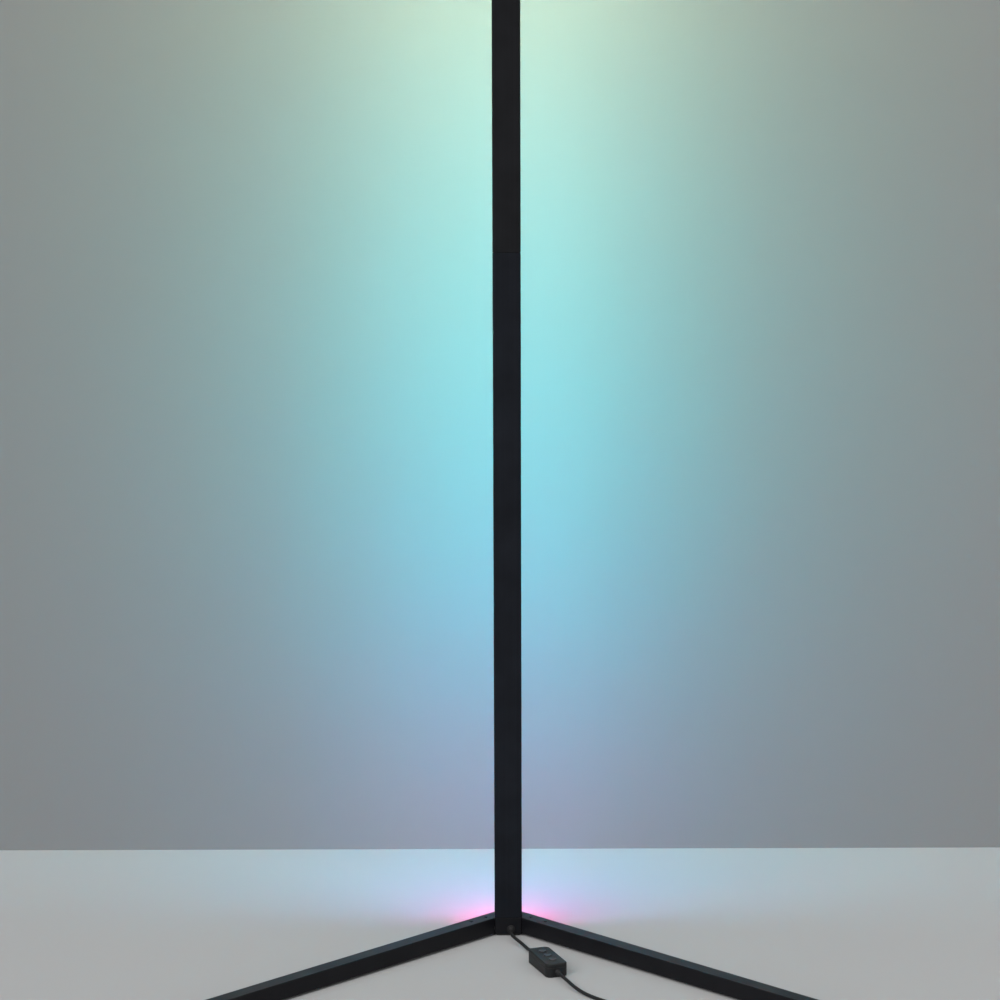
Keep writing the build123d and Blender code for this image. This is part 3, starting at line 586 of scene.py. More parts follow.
@dataclass(frozen=True)
class SolderMask(Finish):
    """Circuit board: lacquer over copper tracks that run along the board."""

    track: Colour = (0.3, 0.3, 0.28)
    track_pitch: float = 2.2 * MM
    track_half: float = 0.264 * MM
    track_edge: float = 0.132 * MM
    track_shown: float = 0.55
    run_length: float = 9.0 * MM
    run_slope: float = 0.12

    def paint(self, graph: Graph, place: Socket, tone: Socket) -> Socket:
        """Lacquer tone with the tracks showing through as even stripes with stepped breaks.

        Args:
            graph: the material's nodes.
            place: object coordinates.
            tone: the skin's tone.

        Returns:
            The colour.
        """
        across, along, height = graph.axes(place)
        step = graph.math("SNAP", graph.math("ADD", along, height), self.run_length)
        lane = graph.math("ADD", across, graph.math("MULTIPLY", step, self.run_slope))
        off_track = graph.math("PINGPONG", lane, self.track_pitch / 2)
        edge = self.track_half + self.track_edge
        seen = graph.spread(off_track, self.track_half, edge, low=1.0, high=0.0)
        seen = graph.math("MULTIPLY", seen, self.track_shown)
        return graph.mix(seen, super().paint(graph, place, tone), self.track)


@dataclass(frozen=True)
class WovenStrap(Finish):
    """Hook-and-loop strap: plain weave that follows the strap, under a short nap."""

    thread: float = 0.45 * MM
    weave_height: float = 0.7
    nap_height: float = 0.5
    nap_scale: float = 9000.0

    def pattern(self, graph: Graph, place: Socket) -> tuple[Socket, Socket]:
        """Plain weave on the strap's own map, whose units are metres along and across it.

        Args:
            graph: the material's nodes.
            place: object coordinates.

        Returns:
            The tone and the height of the bump.
        """
        strap = graph.node("ShaderNodeUVMap", {}, uv_map="strap_map").outputs[0]
        along, across, _ = graph.axes(graph.stretch(strap, even(math.pi / self.thread)))
        cross = graph.math("MULTIPLY", graph.math("SINE", along), graph.math("SINE", across))
        weave = graph.math("MULTIPLY", graph.spread(cross, start=-1.0), self.weave_height)
        nap = graph.math("MULTIPLY", graph.noise(place, self.nap_scale), self.nap_height)
        height = graph.math("ADD", weave, nap)
        return graph.spread(height, start=0.2), height


GLOW_RUN = (
    GlowStop(0.0, (0.9, 0.02, 0.08)),
    GlowStop(0.032, (0.88, 0.02, 0.13)),
    GlowStop(0.055, (0.42, 0.03, 0.34)),
    GlowStop(0.08, (0.06, 0.1, 0.55)),
    GlowStop(0.125, (0.0, 0.38, 0.95)),
    GlowStop(0.19, (0.0, 0.62, 1.0)),
    GlowStop(0.3, (0.0, 0.78, 1.0)),
    GlowStop(0.42, (0.06, 0.9, 0.97)),
    GlowStop(0.54, (0.28, 0.95, 0.9)),
    GlowStop(0.68, (0.6, 0.95, 0.72)),
    GlowStop(0.9, (1.0, 0.85, 0.25)),
    GlowStop(1.15, (1.0, 0.45, 0.1)),
    GlowStop(1.47, (1.0, 0.12, 0.2)),
)
PLUG_TURN = 171.0
COIL_MIDDLE = (78.0 * MM, -226.0 * MM)
POWDER_BLACK = {"colour": (0.0035, 0.0035, 0.005), "second": (0.008, 0.008, 0.0105), "specular": 0.18}
SOFT_BLACK = {"colour": (0.0065, 0.0065, 0.0072), "second": (0.0125, 0.0125, 0.0135), "specular": 0.33}

FINISHES = (
    *(
        Finish(slot, **POWDER_BLACK, roughness=(0.26, 0.38), scale=even(720.0), depth=0.022 * MM,
               skin=Skin.PEEL, rubbed=0.35, dust=0.25)
        for slot in ("hub_paint", "leg_paint")
    ),
    AnodisedSections("pole_anodised", (0.0035, 0.0046, 0.0075), (0.008, 0.0105, 0.016), (0.28, 0.44),
                     drawn(5200.0, 7.0), 0.006 * MM, Skin.DRAWN, specular=0.17, rubbed=0.25,
                     bare=(0.1, 0.1, 0.11), next_colour=(0.0045, 0.0048, 0.0058),
                     next_second=(0.0095, 0.0102, 0.0125)),
    Finish("bar_aluminium", (0.5, 0.5, 0.52), (0.68, 0.68, 0.69), (0.28, 0.42),
           drawn(3600.0, 9.0), 0.01 * MM, Skin.DRAWN, metallic=1.0),
    Finish("screw_black", (0.012, 0.012, 0.013), (0.04, 0.038, 0.036), (0.32, 0.5),
           even(3000.0), 0.008 * MM, metallic=0.6, coat=0.15, rubbed=0.6, bare=(0.22, 0.21, 0.2)),
    Finish("foot_rubber", (0.014, 0.014, 0.014), (0.03, 0.03, 0.029), (0.72, 0.88),
           even(1500.0), 0.05 * MM, dust=0.3),
    Finish("cap_plastic", **SOFT_BLACK, roughness=(0.48, 0.62), scale=even(3200.0), depth=0.02 * MM,
           rubbed=0.25, dust=0.35),
    MilkyGlow("diffuser_milk", (0.5, 0.5, 0.49), (0.55, 0.55, 0.54), (0.36, 0.46),
              even(2400.0), 0.006 * MM, stops=GLOW_RUN),
    SolderMask("board_white", (0.74, 0.74, 0.72), (0.84, 0.84, 0.82), (0.3, 0.42),
               even(1800.0), 0.01 * MM, track=(0.62, 0.62, 0.6)),
    PhosphorPackage("led_package", (0.82, 0.82, 0.8), (0.9, 0.9, 0.88), (0.3, 0.4),
                    even(3000.0), 0.008 * MM),
    Finish("connector_plastic", (0.7, 0.69, 0.65), (0.79, 0.78, 0.75), (0.4, 0.52),
           even(2600.0), 0.015 * MM),
    Finish("cord_jacket", **SOFT_BLACK, roughness=(0.42, 0.58), scale=even(3600.0), depth=0.012 * MM,
           skin=Skin.JACKET, dust=0.2),
    Finish("cord_moulding", **SOFT_BLACK, roughness=(0.5, 0.66), scale=even(2600.0), depth=0.02 * MM,
           rubbed=0.15, dust=0.25),
    WovenStrap("tie_fabric", (0.01, 0.01, 0.011), (0.045, 0.045, 0.047), (0.78, 0.92),
               even(1.0), 0.12 * MM, dust=0.2),
    Finish("case_plastic", **SOFT_BLACK, roughness=(0.44, 0.58), scale=even(2900.0), depth=0.02 * MM,
           rubbed=0.3, dust=0.3),
    Finish("button_plastic", (0.03, 0.03, 0.032), (0.042, 0.042, 0.045), (0.32, 0.46),
           even(5200.0), 0.008 * MM, rubbed=0.2, dust=0.15),
    SolderMask("board_laminate", (0.02, 0.12, 0.05), (0.03, 0.17, 0.07), (0.28, 0.4),
               even(1800.0), 0.01 * MM, track=(0.06, 0.3, 0.12)),
    Finish("switch_plastic", (0.03, 0.03, 0.03), (0.05, 0.05, 0.05), (0.42, 0.55),
           even(3000.0), 0.012 * MM),
    Finish("plug_steel", (0.62, 0.62, 0.63), (0.78, 0.78, 0.79), (0.18, 0.34),
           (60.0, 4200.0, 4200.0), 0.004 * MM, Skin.DRAWN, metallic=1.0, turn=PLUG_TURN),
    Finish("contact_brass", (0.72, 0.52, 0.18), (0.88, 0.7, 0.34), (0.16, 0.3),
           (80.0, 5200.0, 5200.0), 0.003 * MM, Skin.DRAWN, metallic=1.0, turn=PLUG_TURN),
)


# Surfaces


def into_scene(name: str, data: bpy.types.ID) -> Piece:
    """Put new data into the scene.

    Args:
        name: the object's name.
        data: a mesh, a curve, a lamp or a camera.

    Returns:
        The new object, at the origin.
    """
    made = bpy.data.objects.new(name, data)
    bpy.context.scene.collection.objects.link(made)
    return made


@dataclass(frozen=True)
class Surface:
    """A grid of points that is joined into a closed or open skin."""

    points: np.ndarray
    joined_rows: bool = False
    capped: bool = False

    def faces(self) -> list[list[int]]:
        """Corner numbers of every face.

        Rows run along the form and columns round it, and the columns close on themselves. Each face takes
        two neighbours of a row and their two neighbours of the next row. Caps close the first and last row.

        Returns:
            Lists of corner numbers, turning so that the faces look outwards.
        """
        rows, columns = self.points.shape[:2]
        number = np.arange(rows * columns).reshape(rows, columns)
        after = np.roll(number, -1, axis=0) if self.joined_rows else number[1:]
        here = number if self.joined_rows else number[:-1]
        quads = np.stack([here, np.roll(here, -1, 1), np.roll(after, -1, 1), after], axis=-1)
        made = quads.reshape(-1, 4).tolist()
        if self.capped:
            made.append(number[0][::-1].tolist())
            made.append(number[-1].tolist())
        return made

    def piece(self, name: str, sharp: float = 40.0) -> Piece:
        """Put the surface into the scene as an object at the origin.

        Args:
            name: the object's name.
            sharp: angle in degrees from which an edge stays sharp.

        Returns:
            The new object.
        """
        mesh = bpy.data.meshes.new(name)
        mesh.from_pydata(self.points.reshape(-1, 3).tolist(), [], self.faces())
        mesh.polygons.foreach_set("use_smooth", np.ones(len(mesh.polygons), bool))
        mesh.set_sharp_from_angle(angle=math.radians(sharp))
        mesh.update()
        return into_scene(name, mesh)


@dataclass(frozen=True)
class Axis:
    """A place and a level direction, an angle in degrees from +X, that a form is built along."""

    origin: Point
    turn: float

    def place(self, along: Any, side: Any, up: Any) -> np.ndarray:
        """Points that are given by distances from the axis's origin.

        Args:
            along: distances along the axis.
            side: distances to its left.
            up: distances upwards.

        Returns:
            Points in the model's frame, on a grid that the distances are broadcast to.
        """
        angle = math.radians(self.turn)
        ways = np.array([
            (math.cos(angle), math.sin(angle), 0.0),
            (-math.sin(angle), math.cos(angle), 0.0),
            (0.0, 0.0, 1.0),
        ])
        return np.array(self.origin) + np.stack(np.broadcast_arrays(along, side, up), axis=-1) @ ways

    def further(self, reach: float, turn: float) -> "Axis":
        """Axis that starts at a reach along this one and has a direction of its own."""
        return Axis(tuple(self.place(reach, 0.0, 0.0).tolist()), turn)


def circle(sides: int) -> np.ndarray:
    """Angles of points that stand evenly round a circle."""
    return np.linspace(0.0, 2 * np.pi, sides, endpoint=False)


def waves(share: np.ndarray, count: int) -> np.ndarray:
    """Raised cosine that goes from 0 to 1 and back a number of times as the share goes from 0 to 1."""
    return 0.5 - 0.5 * np.cos(2 * np.pi * count * share)


def rounded(middle: tuple[float, float], radius: float, start: float, end: float, count: int) -> np.ndarray:
    """Points of an arc about a middle, in a plane of two distances.

    Args:
        middle: the arc's middle.
        radius: its radius.
        start: first angle in degrees.
        end: last angle in degrees.
        count: how many points.

    Returns:
        An array of points, one per row.
    """
    angle = np.radians(np.linspace(start, end, count))
    return np.array(middle) + radius * np.stack([np.cos(angle), np.sin(angle)], axis=-1)


def turned(axis: Axis, outline: np.ndarray, sides: int, joined: bool = False) -> Surface:
    """Form turned about a level axis.

    Each point of the outline is a distance along the axis and a radius, and its ring is the radius times
    the cosine of the angle to the left and times the sine upwards.

    Args:
        axis: the axis of turning.
        outline: distances along and radii, one pair per row.
        sides: points in each ring.
        joined: whether the outline closes on itself, as round a bore.

    Returns:
        The surface.
    """
    along, radius = outline[:, :1], outline[:, 1:]
    points = axis.place(along, radius * np.cos(circle(sides)), radius * np.sin(circle(sides)))
    return Surface(points, joined_rows=joined, capped=not joined)


# Sub-assemblies


@dataclass
class Dresser:
    """Holds the finished materials and gives them to pieces."""

    materials: dict[str, bpy.types.Material] = field(default_factory=dict)

    def mix_all(self) -> None:
        """Make every finish's material."""
        for finish in FINISHES:
            self.materials[finish.slot] = finish.material()

    def paint(self, piece: Piece, slot: str) -> None:
        """Give a piece the material of a slot alone."""
        piece.data.materials.clear()
        piece.data.materials.append(self.materials[slot])

    def dress_frame(self) -> None:
        """Give each CAD node the material of its slot in the record."""
        for part in frame["record"]["subparts"]:
            self.paint(frame["nodes"][part["node"]], part["material_slot"])
            log.info("dressed %s with %s", part["node"], part["material_slot"])

    def dress(self, piece: Piece, slot: str, *nodes: str, body: str = LAMP_BODY) -> Piece:
        """Finish a new piece.

        Args:
            piece: the new piece.
            slot: the record's material slot.
            nodes: CAD nodes that the piece stands for.
            body: CAD body that it rides on.

        Returns:
            The piece.
        """
        self.paint(piece, slot)
        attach(piece, body)
        if nodes:
            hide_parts(*nodes)
        log.info("built %s on %s for %s", piece.name, body, ", ".join(nodes) or "no node")
        return piece


@dataclass(frozen=True)
class RibbedBoot:
    """Tapered cord relief with moulded ribs, whose grooves grow shallower towards the tip."""

    root_radius: float
    tip_radius: float
    length: float
    ribs: int
    groove: float = 0.35 * MM
    groove_loss: float = 0.4
    tip_round: float = 0.25 * MM
    steps_per_rib: int = 10

    def outline(self) -> np.ndarray:
        """Outer outline from root to tip.

        The radius falls evenly from root to tip, less a groove that follows a raised cosine between ribs.

        Returns:
            Distances along and radii.
        """
        share = np.linspace(0.0, 1.0, self.ribs * self.steps_per_rib + 1)
        straight = self.root_radius + (self.tip_radius - self.root_radius) * share
        groove = self.groove * waves(share, self.ribs) ** 2 * (1.0 - self.groove_loss * share)
        tip_start = self.length - self.tip_round
        end = rounded((tip_start, self.tip_radius - self.tip_round), self.tip_round, 90, 0, count=5)
        return np.concatenate([np.stack([share * tip_start, straight - groove], axis=-1), end[1:]])


@dataclass
class Gland:
    """Grommet in the hub's front that lets the cord out."""

    axis: Axis = Axis((2.0 * MM, -10.0 * MM, 5.0 * MM), -90.0)
    plug_radius: float = 2.5 * MM
    plug_depth: float = 3.0 * MM
    flange_radius: float = 3.0 * MM
    flange: float = 1.2 * MM
    flange_round: float = 0.35 * MM
    bore_radius: float = 1.3 * MM
    relief: RibbedBoot = RibbedBoot(2.2 * MM, 1.65 * MM, 4.8 * MM, ribs=4)
    sides: int = 48

    def build(self, dresser: Dresser) -> None:
        """Turn the grommet: plug in the hub, rounded flange, ribbed relief and the cord's bore.

        Args:
            dresser: gives it its finish.
        """
        relief = self.relief.outline() + (self.flange, 0.0)
        edge = (self.flange - self.flange_round, self.flange_radius - self.flange_round)
        start = np.array([
            (-self.plug_depth, self.bore_radius),
            (-self.plug_depth, self.plug_radius),
            (0.0, self.plug_radius),
            (0.0, self.flange_radius),
        ])
        rim = rounded(edge, self.flange_round, 90, 0, count=6)
        tip = np.array([(relief[-1, 0], self.bore_radius)])
        outline = np.concatenate([start, rim, relief, tip])
        grommet = turned(self.axis, outline, self.sides, joined=True).piece("cord_grommet")
        dresser.dress(grommet, "cord_moulding", "cord_gland")


@dataclass(frozen=True)
class KeyCap:
    """Push button of the controller: stem, flange under the lid and a cap with a finger dish."""

    stem_radius: float = 1.5 * MM
    flange_radius: float = 3.5 * MM
    radius: float = 2.8 * MM
    stem_foot: float = 6.9 * MM
    flange_foot: float = 7.6 * MM
    flange_top: float = 8.5 * MM
    top: float = 10.8 * MM
    edge: float = 0.4 * MM
    dish: float = 0.32 * MM
    foot_ring: float = 0.3 * MM
    dish_ring: float = 0.28 * MM
    dish_rings: int = 12

    def outline(self) -> np.ndarray:
        """Outline from the stem's foot over the cap's edge to the middle of the dish.

        The top falls from the rim to the middle by the dish times one less the squared share of the radius.

        Returns:
            Heights above the floor and radii.
        """
        shaft = np.array([
            (self.stem_foot, self.foot_ring),
            (self.stem_foot, self.stem_radius),
            (self.flange_foot, self.stem_radius),
            (self.flange_foot, self.flange_radius),
            (self.flange_top, self.flange_radius),
            (self.flange_top, self.radius),
        ])
        rim_radius = self.radius - self.edge
        rim = rounded((self.top - self.edge, rim_radius), self.edge, 90, 0, count=7)
        radius = np.linspace(rim_radius, self.dish_ring, self.dish_rings)[1:]
        hollow = np.stack([self.top - self.dish * (1 - (radius / rim_radius) ** 2), radius], axis=-1)
        return np.concatenate([shaft, rim, hollow])


@dataclass
class Controller:
    """Inline controller: its boots and dished buttons, on the CAD case."""

    place: tuple[float, float] = (27.6 * MM, -86.0 * MM)
    turn: float = -70.0
    length: float = 40.0 * MM
    wall: float = 1.4 * MM
    boot_height: float = 3.7 * MM
    boot_flange: float = 0.8 * MM
    neck_radius: float = 1.75 * MM
    relief: RibbedBoot = RibbedBoot(2.2 * MM, 1.6 * MM, 6.0 * MM, ribs=4)
    key: KeyCap = KeyCap()
    key_names: tuple[str, ...] = ("power", "mode", "colour")
    key_pitch: float = 10.0 * MM
    sides: int = 48

    def boot(self, name: str, side: int) -> Piece:
        """Turn one boot: flange and neck in the case wall, then the ribbed relief.

        Args:
            name: the piece's name.
            side: -1 at the lamp's end, 1 at the plug's.

        Returns:
            The piece.
        """
        turn = self.turn if side > 0 else self.turn + 180
        axis = Axis((*self.place, self.boot_height), self.turn).further(side * self.length / 2, turn)
        inner = np.array([
            (-self.wall - self.boot_flange, self.relief.root_radius),
            (-self.wall, self.relief.root_radius),
            (-self.wall, self.neck_radius),
            (0.0, self.neck_radius),
        ])
        outline = np.concatenate([inner, self.relief.outline()])
        return turned(axis, outline, self.sides).piece(name)

    def button(self, name: str, reach: float) -> Piece:
        """Turn one button about its own upright axis.

        A ring is the outline's radius times the cosine of the angle along the case and times the sine to
        its left.

        Args:
            name: the piece's name.
            reach: its distance along the case from the middle.

        Returns:
            The piece.
        """
        outline = self.key.outline()
        height, radius = outline[:, :1], outline[:, 1:]
        angle = circle(self.sides)
        middle = Axis((*self.place, 0.0), self.turn)
        points = middle.place(reach + radius * np.cos(angle), radius * np.sin(angle), height)
        return Surface(points, capped=True).piece(name)

    def build(self, dresser: Dresser) -> list[Piece]:
        """Make the boots and buttons.

        Args:
            dresser: gives them their finish.

        Returns:
            The pieces that belong to the controller, CAD nodes among them.
        """
        pieces = []
        for end, side in (("lamp", -1), ("plug", 1)):
            boot = self.boot(end + "_boot_ribbed", side)
            pieces.append(dresser.dress(boot, "cord_moulding", end + "_side_boot"))
        for index, name in enumerate(self.key_names):
            reach = (index - (len(self.key_names) - 1) / 2) * self.key_pitch
            key = self.button(name + "_key_cap", reach)
            pieces.append(dresser.dress(key, "button_plastic", name + "_button", body=name + "_key"))
            pieces.append(frame["nodes"][name + "_plunger"])
        for name in ("base", "lid", "board", "switches"):
            pieces.append(frame["nodes"]["controller_" + name])
        return pieces


@dataclass
class UsbPlug:
    """Plug at the cord's far end: moulded grip with side ribs and a ribbed relief, on the CAD shell."""

    axis: Axis = Axis((18.5 * MM, -243.6 * MM, 3.8 * MM), PLUG_TURN)
    grip_start: float = 8.0 * MM
    grip_length: float = 24.0 * MM
    half_width: float = 7.5 * MM
    half_height: float = 3.8 * MM
    squareness: float = 5.0
    back_round: float = 3.2 * MM
    front_round: float = 0.9 * MM
    round_height: float = 0.8
    rings: int = 110
    ribs: int = 6
    rib_start: float = 0.3
    rib_end: float = 0.78
    rib_depth: float = 0.45 * MM
    pocket_half_width: float = 6.05 * MM
    pocket_half_height: float = 2.3 * MM
    pocket_depth: float = 5.0 * MM
    pocket_squareness: float = 14.0
    sides: int = 96
    relief: RibbedBoot = RibbedBoot(2.5 * MM, 1.6 * MM, 8.6 * MM, ribs=5)
    relief_sides: int = 48

    def ring(self, along: np.ndarray, width: np.ndarray, height: np.ndarray, power: float) -> np.ndarray:
        """Rings of a rounded rectangle.

        Each ring is the half width times the cosine and the half height times the sine of the angle, both
        raised to two over the squareness with their signs kept.

        Args:
            along: distance of each ring.
            width: half width of each ring.
            height: half height of each ring.
            power: squareness of the rings.

        Returns:
            Grid of points, one ring per row.
        """
        angle = circle(self.sides)
        ways = np.stack([np.cos(angle), np.sin(angle)])
        across, up = np.sign(ways) * np.abs(ways) ** (2 / power)
        return self.axis.place(along[:, None], width[:, None] * across, height[:, None] * up)

    def grip(self) -> Piece:
        """Loft the grip: rounded back, ribbed sides, square front and a pocket for the shell.

        The sides are drawn in by a raised cosine, once per rib, along the middle of the grip.

        Returns:
            The piece.
        """
        front_start = self.grip_length - self.front_round
        back = rounded((self.back_round, 0.0), self.back_round, 180, 90, count=9)
        middle = np.linspace(self.back_round, front_start, self.rings)[1:-1]
        front = rounded((front_start, 0.0), self.front_round, 90, 0, count=7)
        along = np.concatenate([back[:, 0], middle, front[:, 0]])
        inset = np.zeros(len(along))
        inset[:len(back)] = self.back_round - back[:, 1]
        inset[-len(front):] = self.front_round - front[:, 1]
        share = (along / self.grip_length - self.rib_start) / (self.rib_end - self.rib_start)
        cut = np.where((share > 0) & (share < 1), self.rib_depth * waves(share, self.ribs), 0.0)
        width = self.half_width - inset - cut
        height = self.half_height - self.round_height * inset
        outer = self.ring(self.grip_start + along, width, height, self.squareness)
        end = self.grip_start + self.grip_length
        pocket_ends = np.array([end, end - self.pocket_depth])
        pocket_half = np.full(2, self.pocket_half_width), np.full(2, self.pocket_half_height)
        pocket = self.ring(pocket_ends, *pocket_half, self.pocket_squareness)
        return Surface(np.concatenate([outer, pocket]), capped=True).piece("plug_grip_moulded", sharp=50.0)

    def build(self, dresser: Dresser) -> list[Piece]:
        """Make the grip and the relief, which runs from inside the grip's back to the cord.

        Args:
            dresser: gives them their finish.

        Returns:
            The plug's pieces, CAD nodes among them.
        """
        grip = dresser.dress(self.grip(), "cord_moulding", "plug_grip")
        root = self.axis.further(self.relief.length, self.axis.turn + 180)
        relief = turned(root, self.relief.outline(), self.relief_sides).piece("plug_relief")
        dresser.dress(relief, "cord_moulding")
        return [grip, relief] + [frame["nodes"]["plug_" + name] for name in ("shell", "tongue", "contacts")]


@dataclass
class CoilStrap:
    """Hook-and-loop strap closed round one side of the coil, with its free end lying over it."""

    middle: tuple[float, float] = COIL_MIDDLE
    turn: float = 180.0
    inner: float = 8.03 * MM
    outer: float = 21.45 * MM
    top: float = 12.7 * MM
    width: float = 6.0 * MM
    thickness: float = 0.5 * MM
    bend: float = 1.1 * MM
    bend_points: int = 10
    rows: int = 220
    end_rows: int = 55
    end_lift: float = 0.55 * MM
    edge_across: tuple[float, ...] = (-1.0, -0.96, -0.5, 0.0, 0.5, 0.96, 1.0)
    edge_height: float = 0.6

    def loop(self, offset: float) -> np.ndarray:
        """Closed path of a rounded rectangle round the bundle, resampled to even steps.

        Args:
            offset: distance outside the strap's own middle line.

        Returns:
            Distances out from the coil's middle and heights, from the top's middle outwards and round.
        """
        half = self.thickness / 2
        bend = self.bend + offset
        low, high = self.inner - half - offset, self.outer + half + offset
        foot, top = half, self.top + half + offset
        in_low, in_high, in_foot, in_top = low + bend, high - bend, foot + bend, top - bend
        top_middle = np.array([((low + high) / 2, top)])
        bends = [
            (90, in_high, in_top),
            (0, in_high, in_foot),
            (270, in_low, in_foot),
            (180, in_low, in_top),
        ]
        corners = [rounded((out, up), bend, turn, turn - 90, self.bend_points) for turn, out, up in bends]
        path = np.concatenate([top_middle, *corners, top_middle])
        reach = np.concatenate([[0.0], np.cumsum(np.linalg.norm(np.diff(path, axis=0), axis=1))])
        even_reach = np.linspace(0.0, reach[-1], self.rows)
        return np.stack([np.interp(even_reach, reach, side) for side in path.T], axis=-1)

    def band(self, name: str, path: np.ndarray, closed: bool) -> Piece:
        """Carry the strap's flat section along a path.

        The section is a rectangle with slightly crowned faces: its offset from the path is half the
        thickness, and its corners are drawn in a little.

        Args:
            name: the piece's name.
            path: distances out and heights, one pair per row; a closed one doesn't repeat its start.
            closed: whether the path's end meets its start.

        Returns:
            The piece, with its own map in metres along and across.
        """
        ways = np.gradient(path, axis=0)
        if closed:
            ways = (np.roll(path, -1, 0) - np.roll(path, 1, 0)) / 2
        ways /= np.linalg.norm(ways, axis=1)[:, None]
        outward = np.stack([-ways[:, 1], ways[:, 0]], axis=-1)
        edge = np.array(self.edge_across)
        rise = np.where(np.abs(edge) < 1.0, 1.0, self.edge_height)
        across = np.concatenate([edge, edge[::-1]]) * self.width / 2
        proud = np.concatenate([rise, -rise]) * self.thickness / 2
        spots = path[:, None, :] + outward[:, None, :] * proud[None, :, None]
        points = Axis((*self.middle, 0.0), self.turn).place(spots[..., 0], across, spots[..., 1])
        piece = Surface(points, joined_rows=closed, capped=not closed).piece(name)
        self.map(piece, path, across, closed)
        return piece

    def map(self, piece: Piece, path: np.ndarray, across: np.ndarray, closed: bool) -> None:
        """Lay the strap's map: metres along the path and across the strap at every face corner.

        Args:
            piece: the strap's object.
            path: its path.
            across: distances across the strap for each column.
            closed: whether the path's end meets its start, so that the last row's faces run on.
        """
        mesh = piece.data
        step = np.linalg.norm(path[1] - path[0])
        corner = np.zeros(len(mesh.loops), int)
        mesh.loops.foreach_get("vertex_index", corner)
        row, column = np.divmod(corner, len(across))
        if closed:
            face_row = np.repeat(np.arange(len(mesh.polygons)) // len(across), 4)
            row = np.where(row < face_row, row + len(path), row)
        layer = mesh.uv_layers.new(name="strap_map")
        layer.data.foreach_set("uv", np.stack([row * step, across[column]], axis=-1).ravel())

    def build(self, dresser: Dresser) -> list[Piece]:
        """Make the closed band and its free end.

        Args:
            dresser: gives them their finish.

        Returns:
            The two pieces.
        """
        band = self.band("coil_strap", self.loop(0.0)[:-1], closed=True)
        end = self.band("coil_strap_end", self.loop(self.end_lift)[:self.end_rows], closed=False)
        return [dresser.dress(band, "tie_fabric", "coil_tie"), dresser.dress(end, "tie_fabric")]


@dataclass(frozen=True)
class CoilTurns:
    """Turns of the put-away lead: flat spirals in and out, one layer above the other."""

    middle: tuple[float, float] = COIL_MIDDLE
    outer: float = 20.0 * MM
    turn_step: float = 3.4 * MM
    layer_step: float = 3.1 * MM
    layers: int = 4
    spiral_turns: float = 2.9375
    climb_turns: float = 0.5
    foot: float = 1.95 * MM
    points_per_turn: int = 16

    def points(self) -> list[Point]:
        """Control points of the turns, clockwise from +X.

        A control point's radius is the turn's own over the cosine of half a step, so that the curve, which
        touches the middle of each side of its control polygon, keeps the turn's radius.

        Returns:
            The points in order.
        """
        span = self.spiral_turns + self.climb_turns
        total = self.layers * span - self.climb_turns
        count = round(total * self.points_per_turn)
        inner = self.outer - self.spiral_turns * self.turn_step
        swell = 1 / math.cos(math.pi / self.points_per_turn)
        made = []
        for step in range(1, count):
            turns = total * step / count
            layer = min(int(turns / span), self.layers - 1)
            into = turns - layer * span
            spiral = min(into, self.spiral_turns) * self.turn_step
            climb = max(into - self.spiral_turns, 0.0) / self.climb_turns
            radius = swell * (self.outer - spiral if layer % 2 == 0 else inner + spiral)
            angle = -2 * math.pi * turns
            made.append((
                self.middle[0] + radius * math.cos(angle),
                self.middle[1] + radius * math.sin(angle),
                self.foot + (layer + climb) * self.layer_step,
            ))
        return made


@dataclass
class Cord:
    """Round flexible cord on one smooth line through its route's control points."""

    name: str
    route: list[Point]
    diameter: float
    steps: int = 6
    roundness: int = 4

    def build(self) -> Piece:
        """Lay the cord as a curve of one open spline.

        Returns:
            The piece.
        """
        curve = bpy.data.curves.new(self.name, "CURVE")
        curve.dimensions = "3D"
        curve.bevel_depth = self.diameter / 2
        curve.bevel_resolution = self.roundness
        curve.use_fill_caps = True
        curve.resolution_u = self.steps
        spline = curve.splines.new("NURBS")
        spline.points.add(len(self.route) - 1)
        spline.points.foreach_set("co", np.array([(*point, 1.0) for point in self.route]).ravel())
        spline.order_u = 3
        spline.use_endpoint_u = True
        spline.resolution_u = self.steps
        return into_scene(self.name, curve)


def in_metres(points: list[Point]) -> list[Point]:
    """Points in metres from points in millimetres."""
    return [(x * MM, y * MM, z * MM) for x, y, z in points]


LAMP_LEAD_ROUTE = in_metres([
    (2.0, -16.0, 5.0),
    (2.0, -22.0, 5.0),
    (4.8, -28.9, 4.3),
    (9.0, -34.8, 2.8),
    (12.4, -41.1, 1.7),
    (14.6, -48.2, 1.8),
    (16.348, -55.084, 3.7),
    (18.708, -61.568, 3.7),
])
SUPPLY_LEAD_ROUTE = in_metres([
    (36.493, -110.432, 3.7),
    (40.255, -120.769, 3.7),
    (45.6, -133.4, 2.5),
    (53.2, -145.8, 1.5),
    (63.1, -156.8, 1.25),
    (73.9, -167.1, 1.25),
    (84.6, -178.2, 1.25),
    (93.0, -191.4, 1.5),
    (98.473, -208.506, 1.95),
    (98.068, -223.501, 1.95),
])
PLUG_TAIL_ROUTE = in_metres([
    (75.501, -246.068, 11.25),
    (66.504, -246.311, 11.25),
    (54.0, -246.9, 8.6),
    (42.0, -246.6, 5.6),
    (29.858, -245.399, 3.8),
    (18.5, -243.6, 3.8),
])


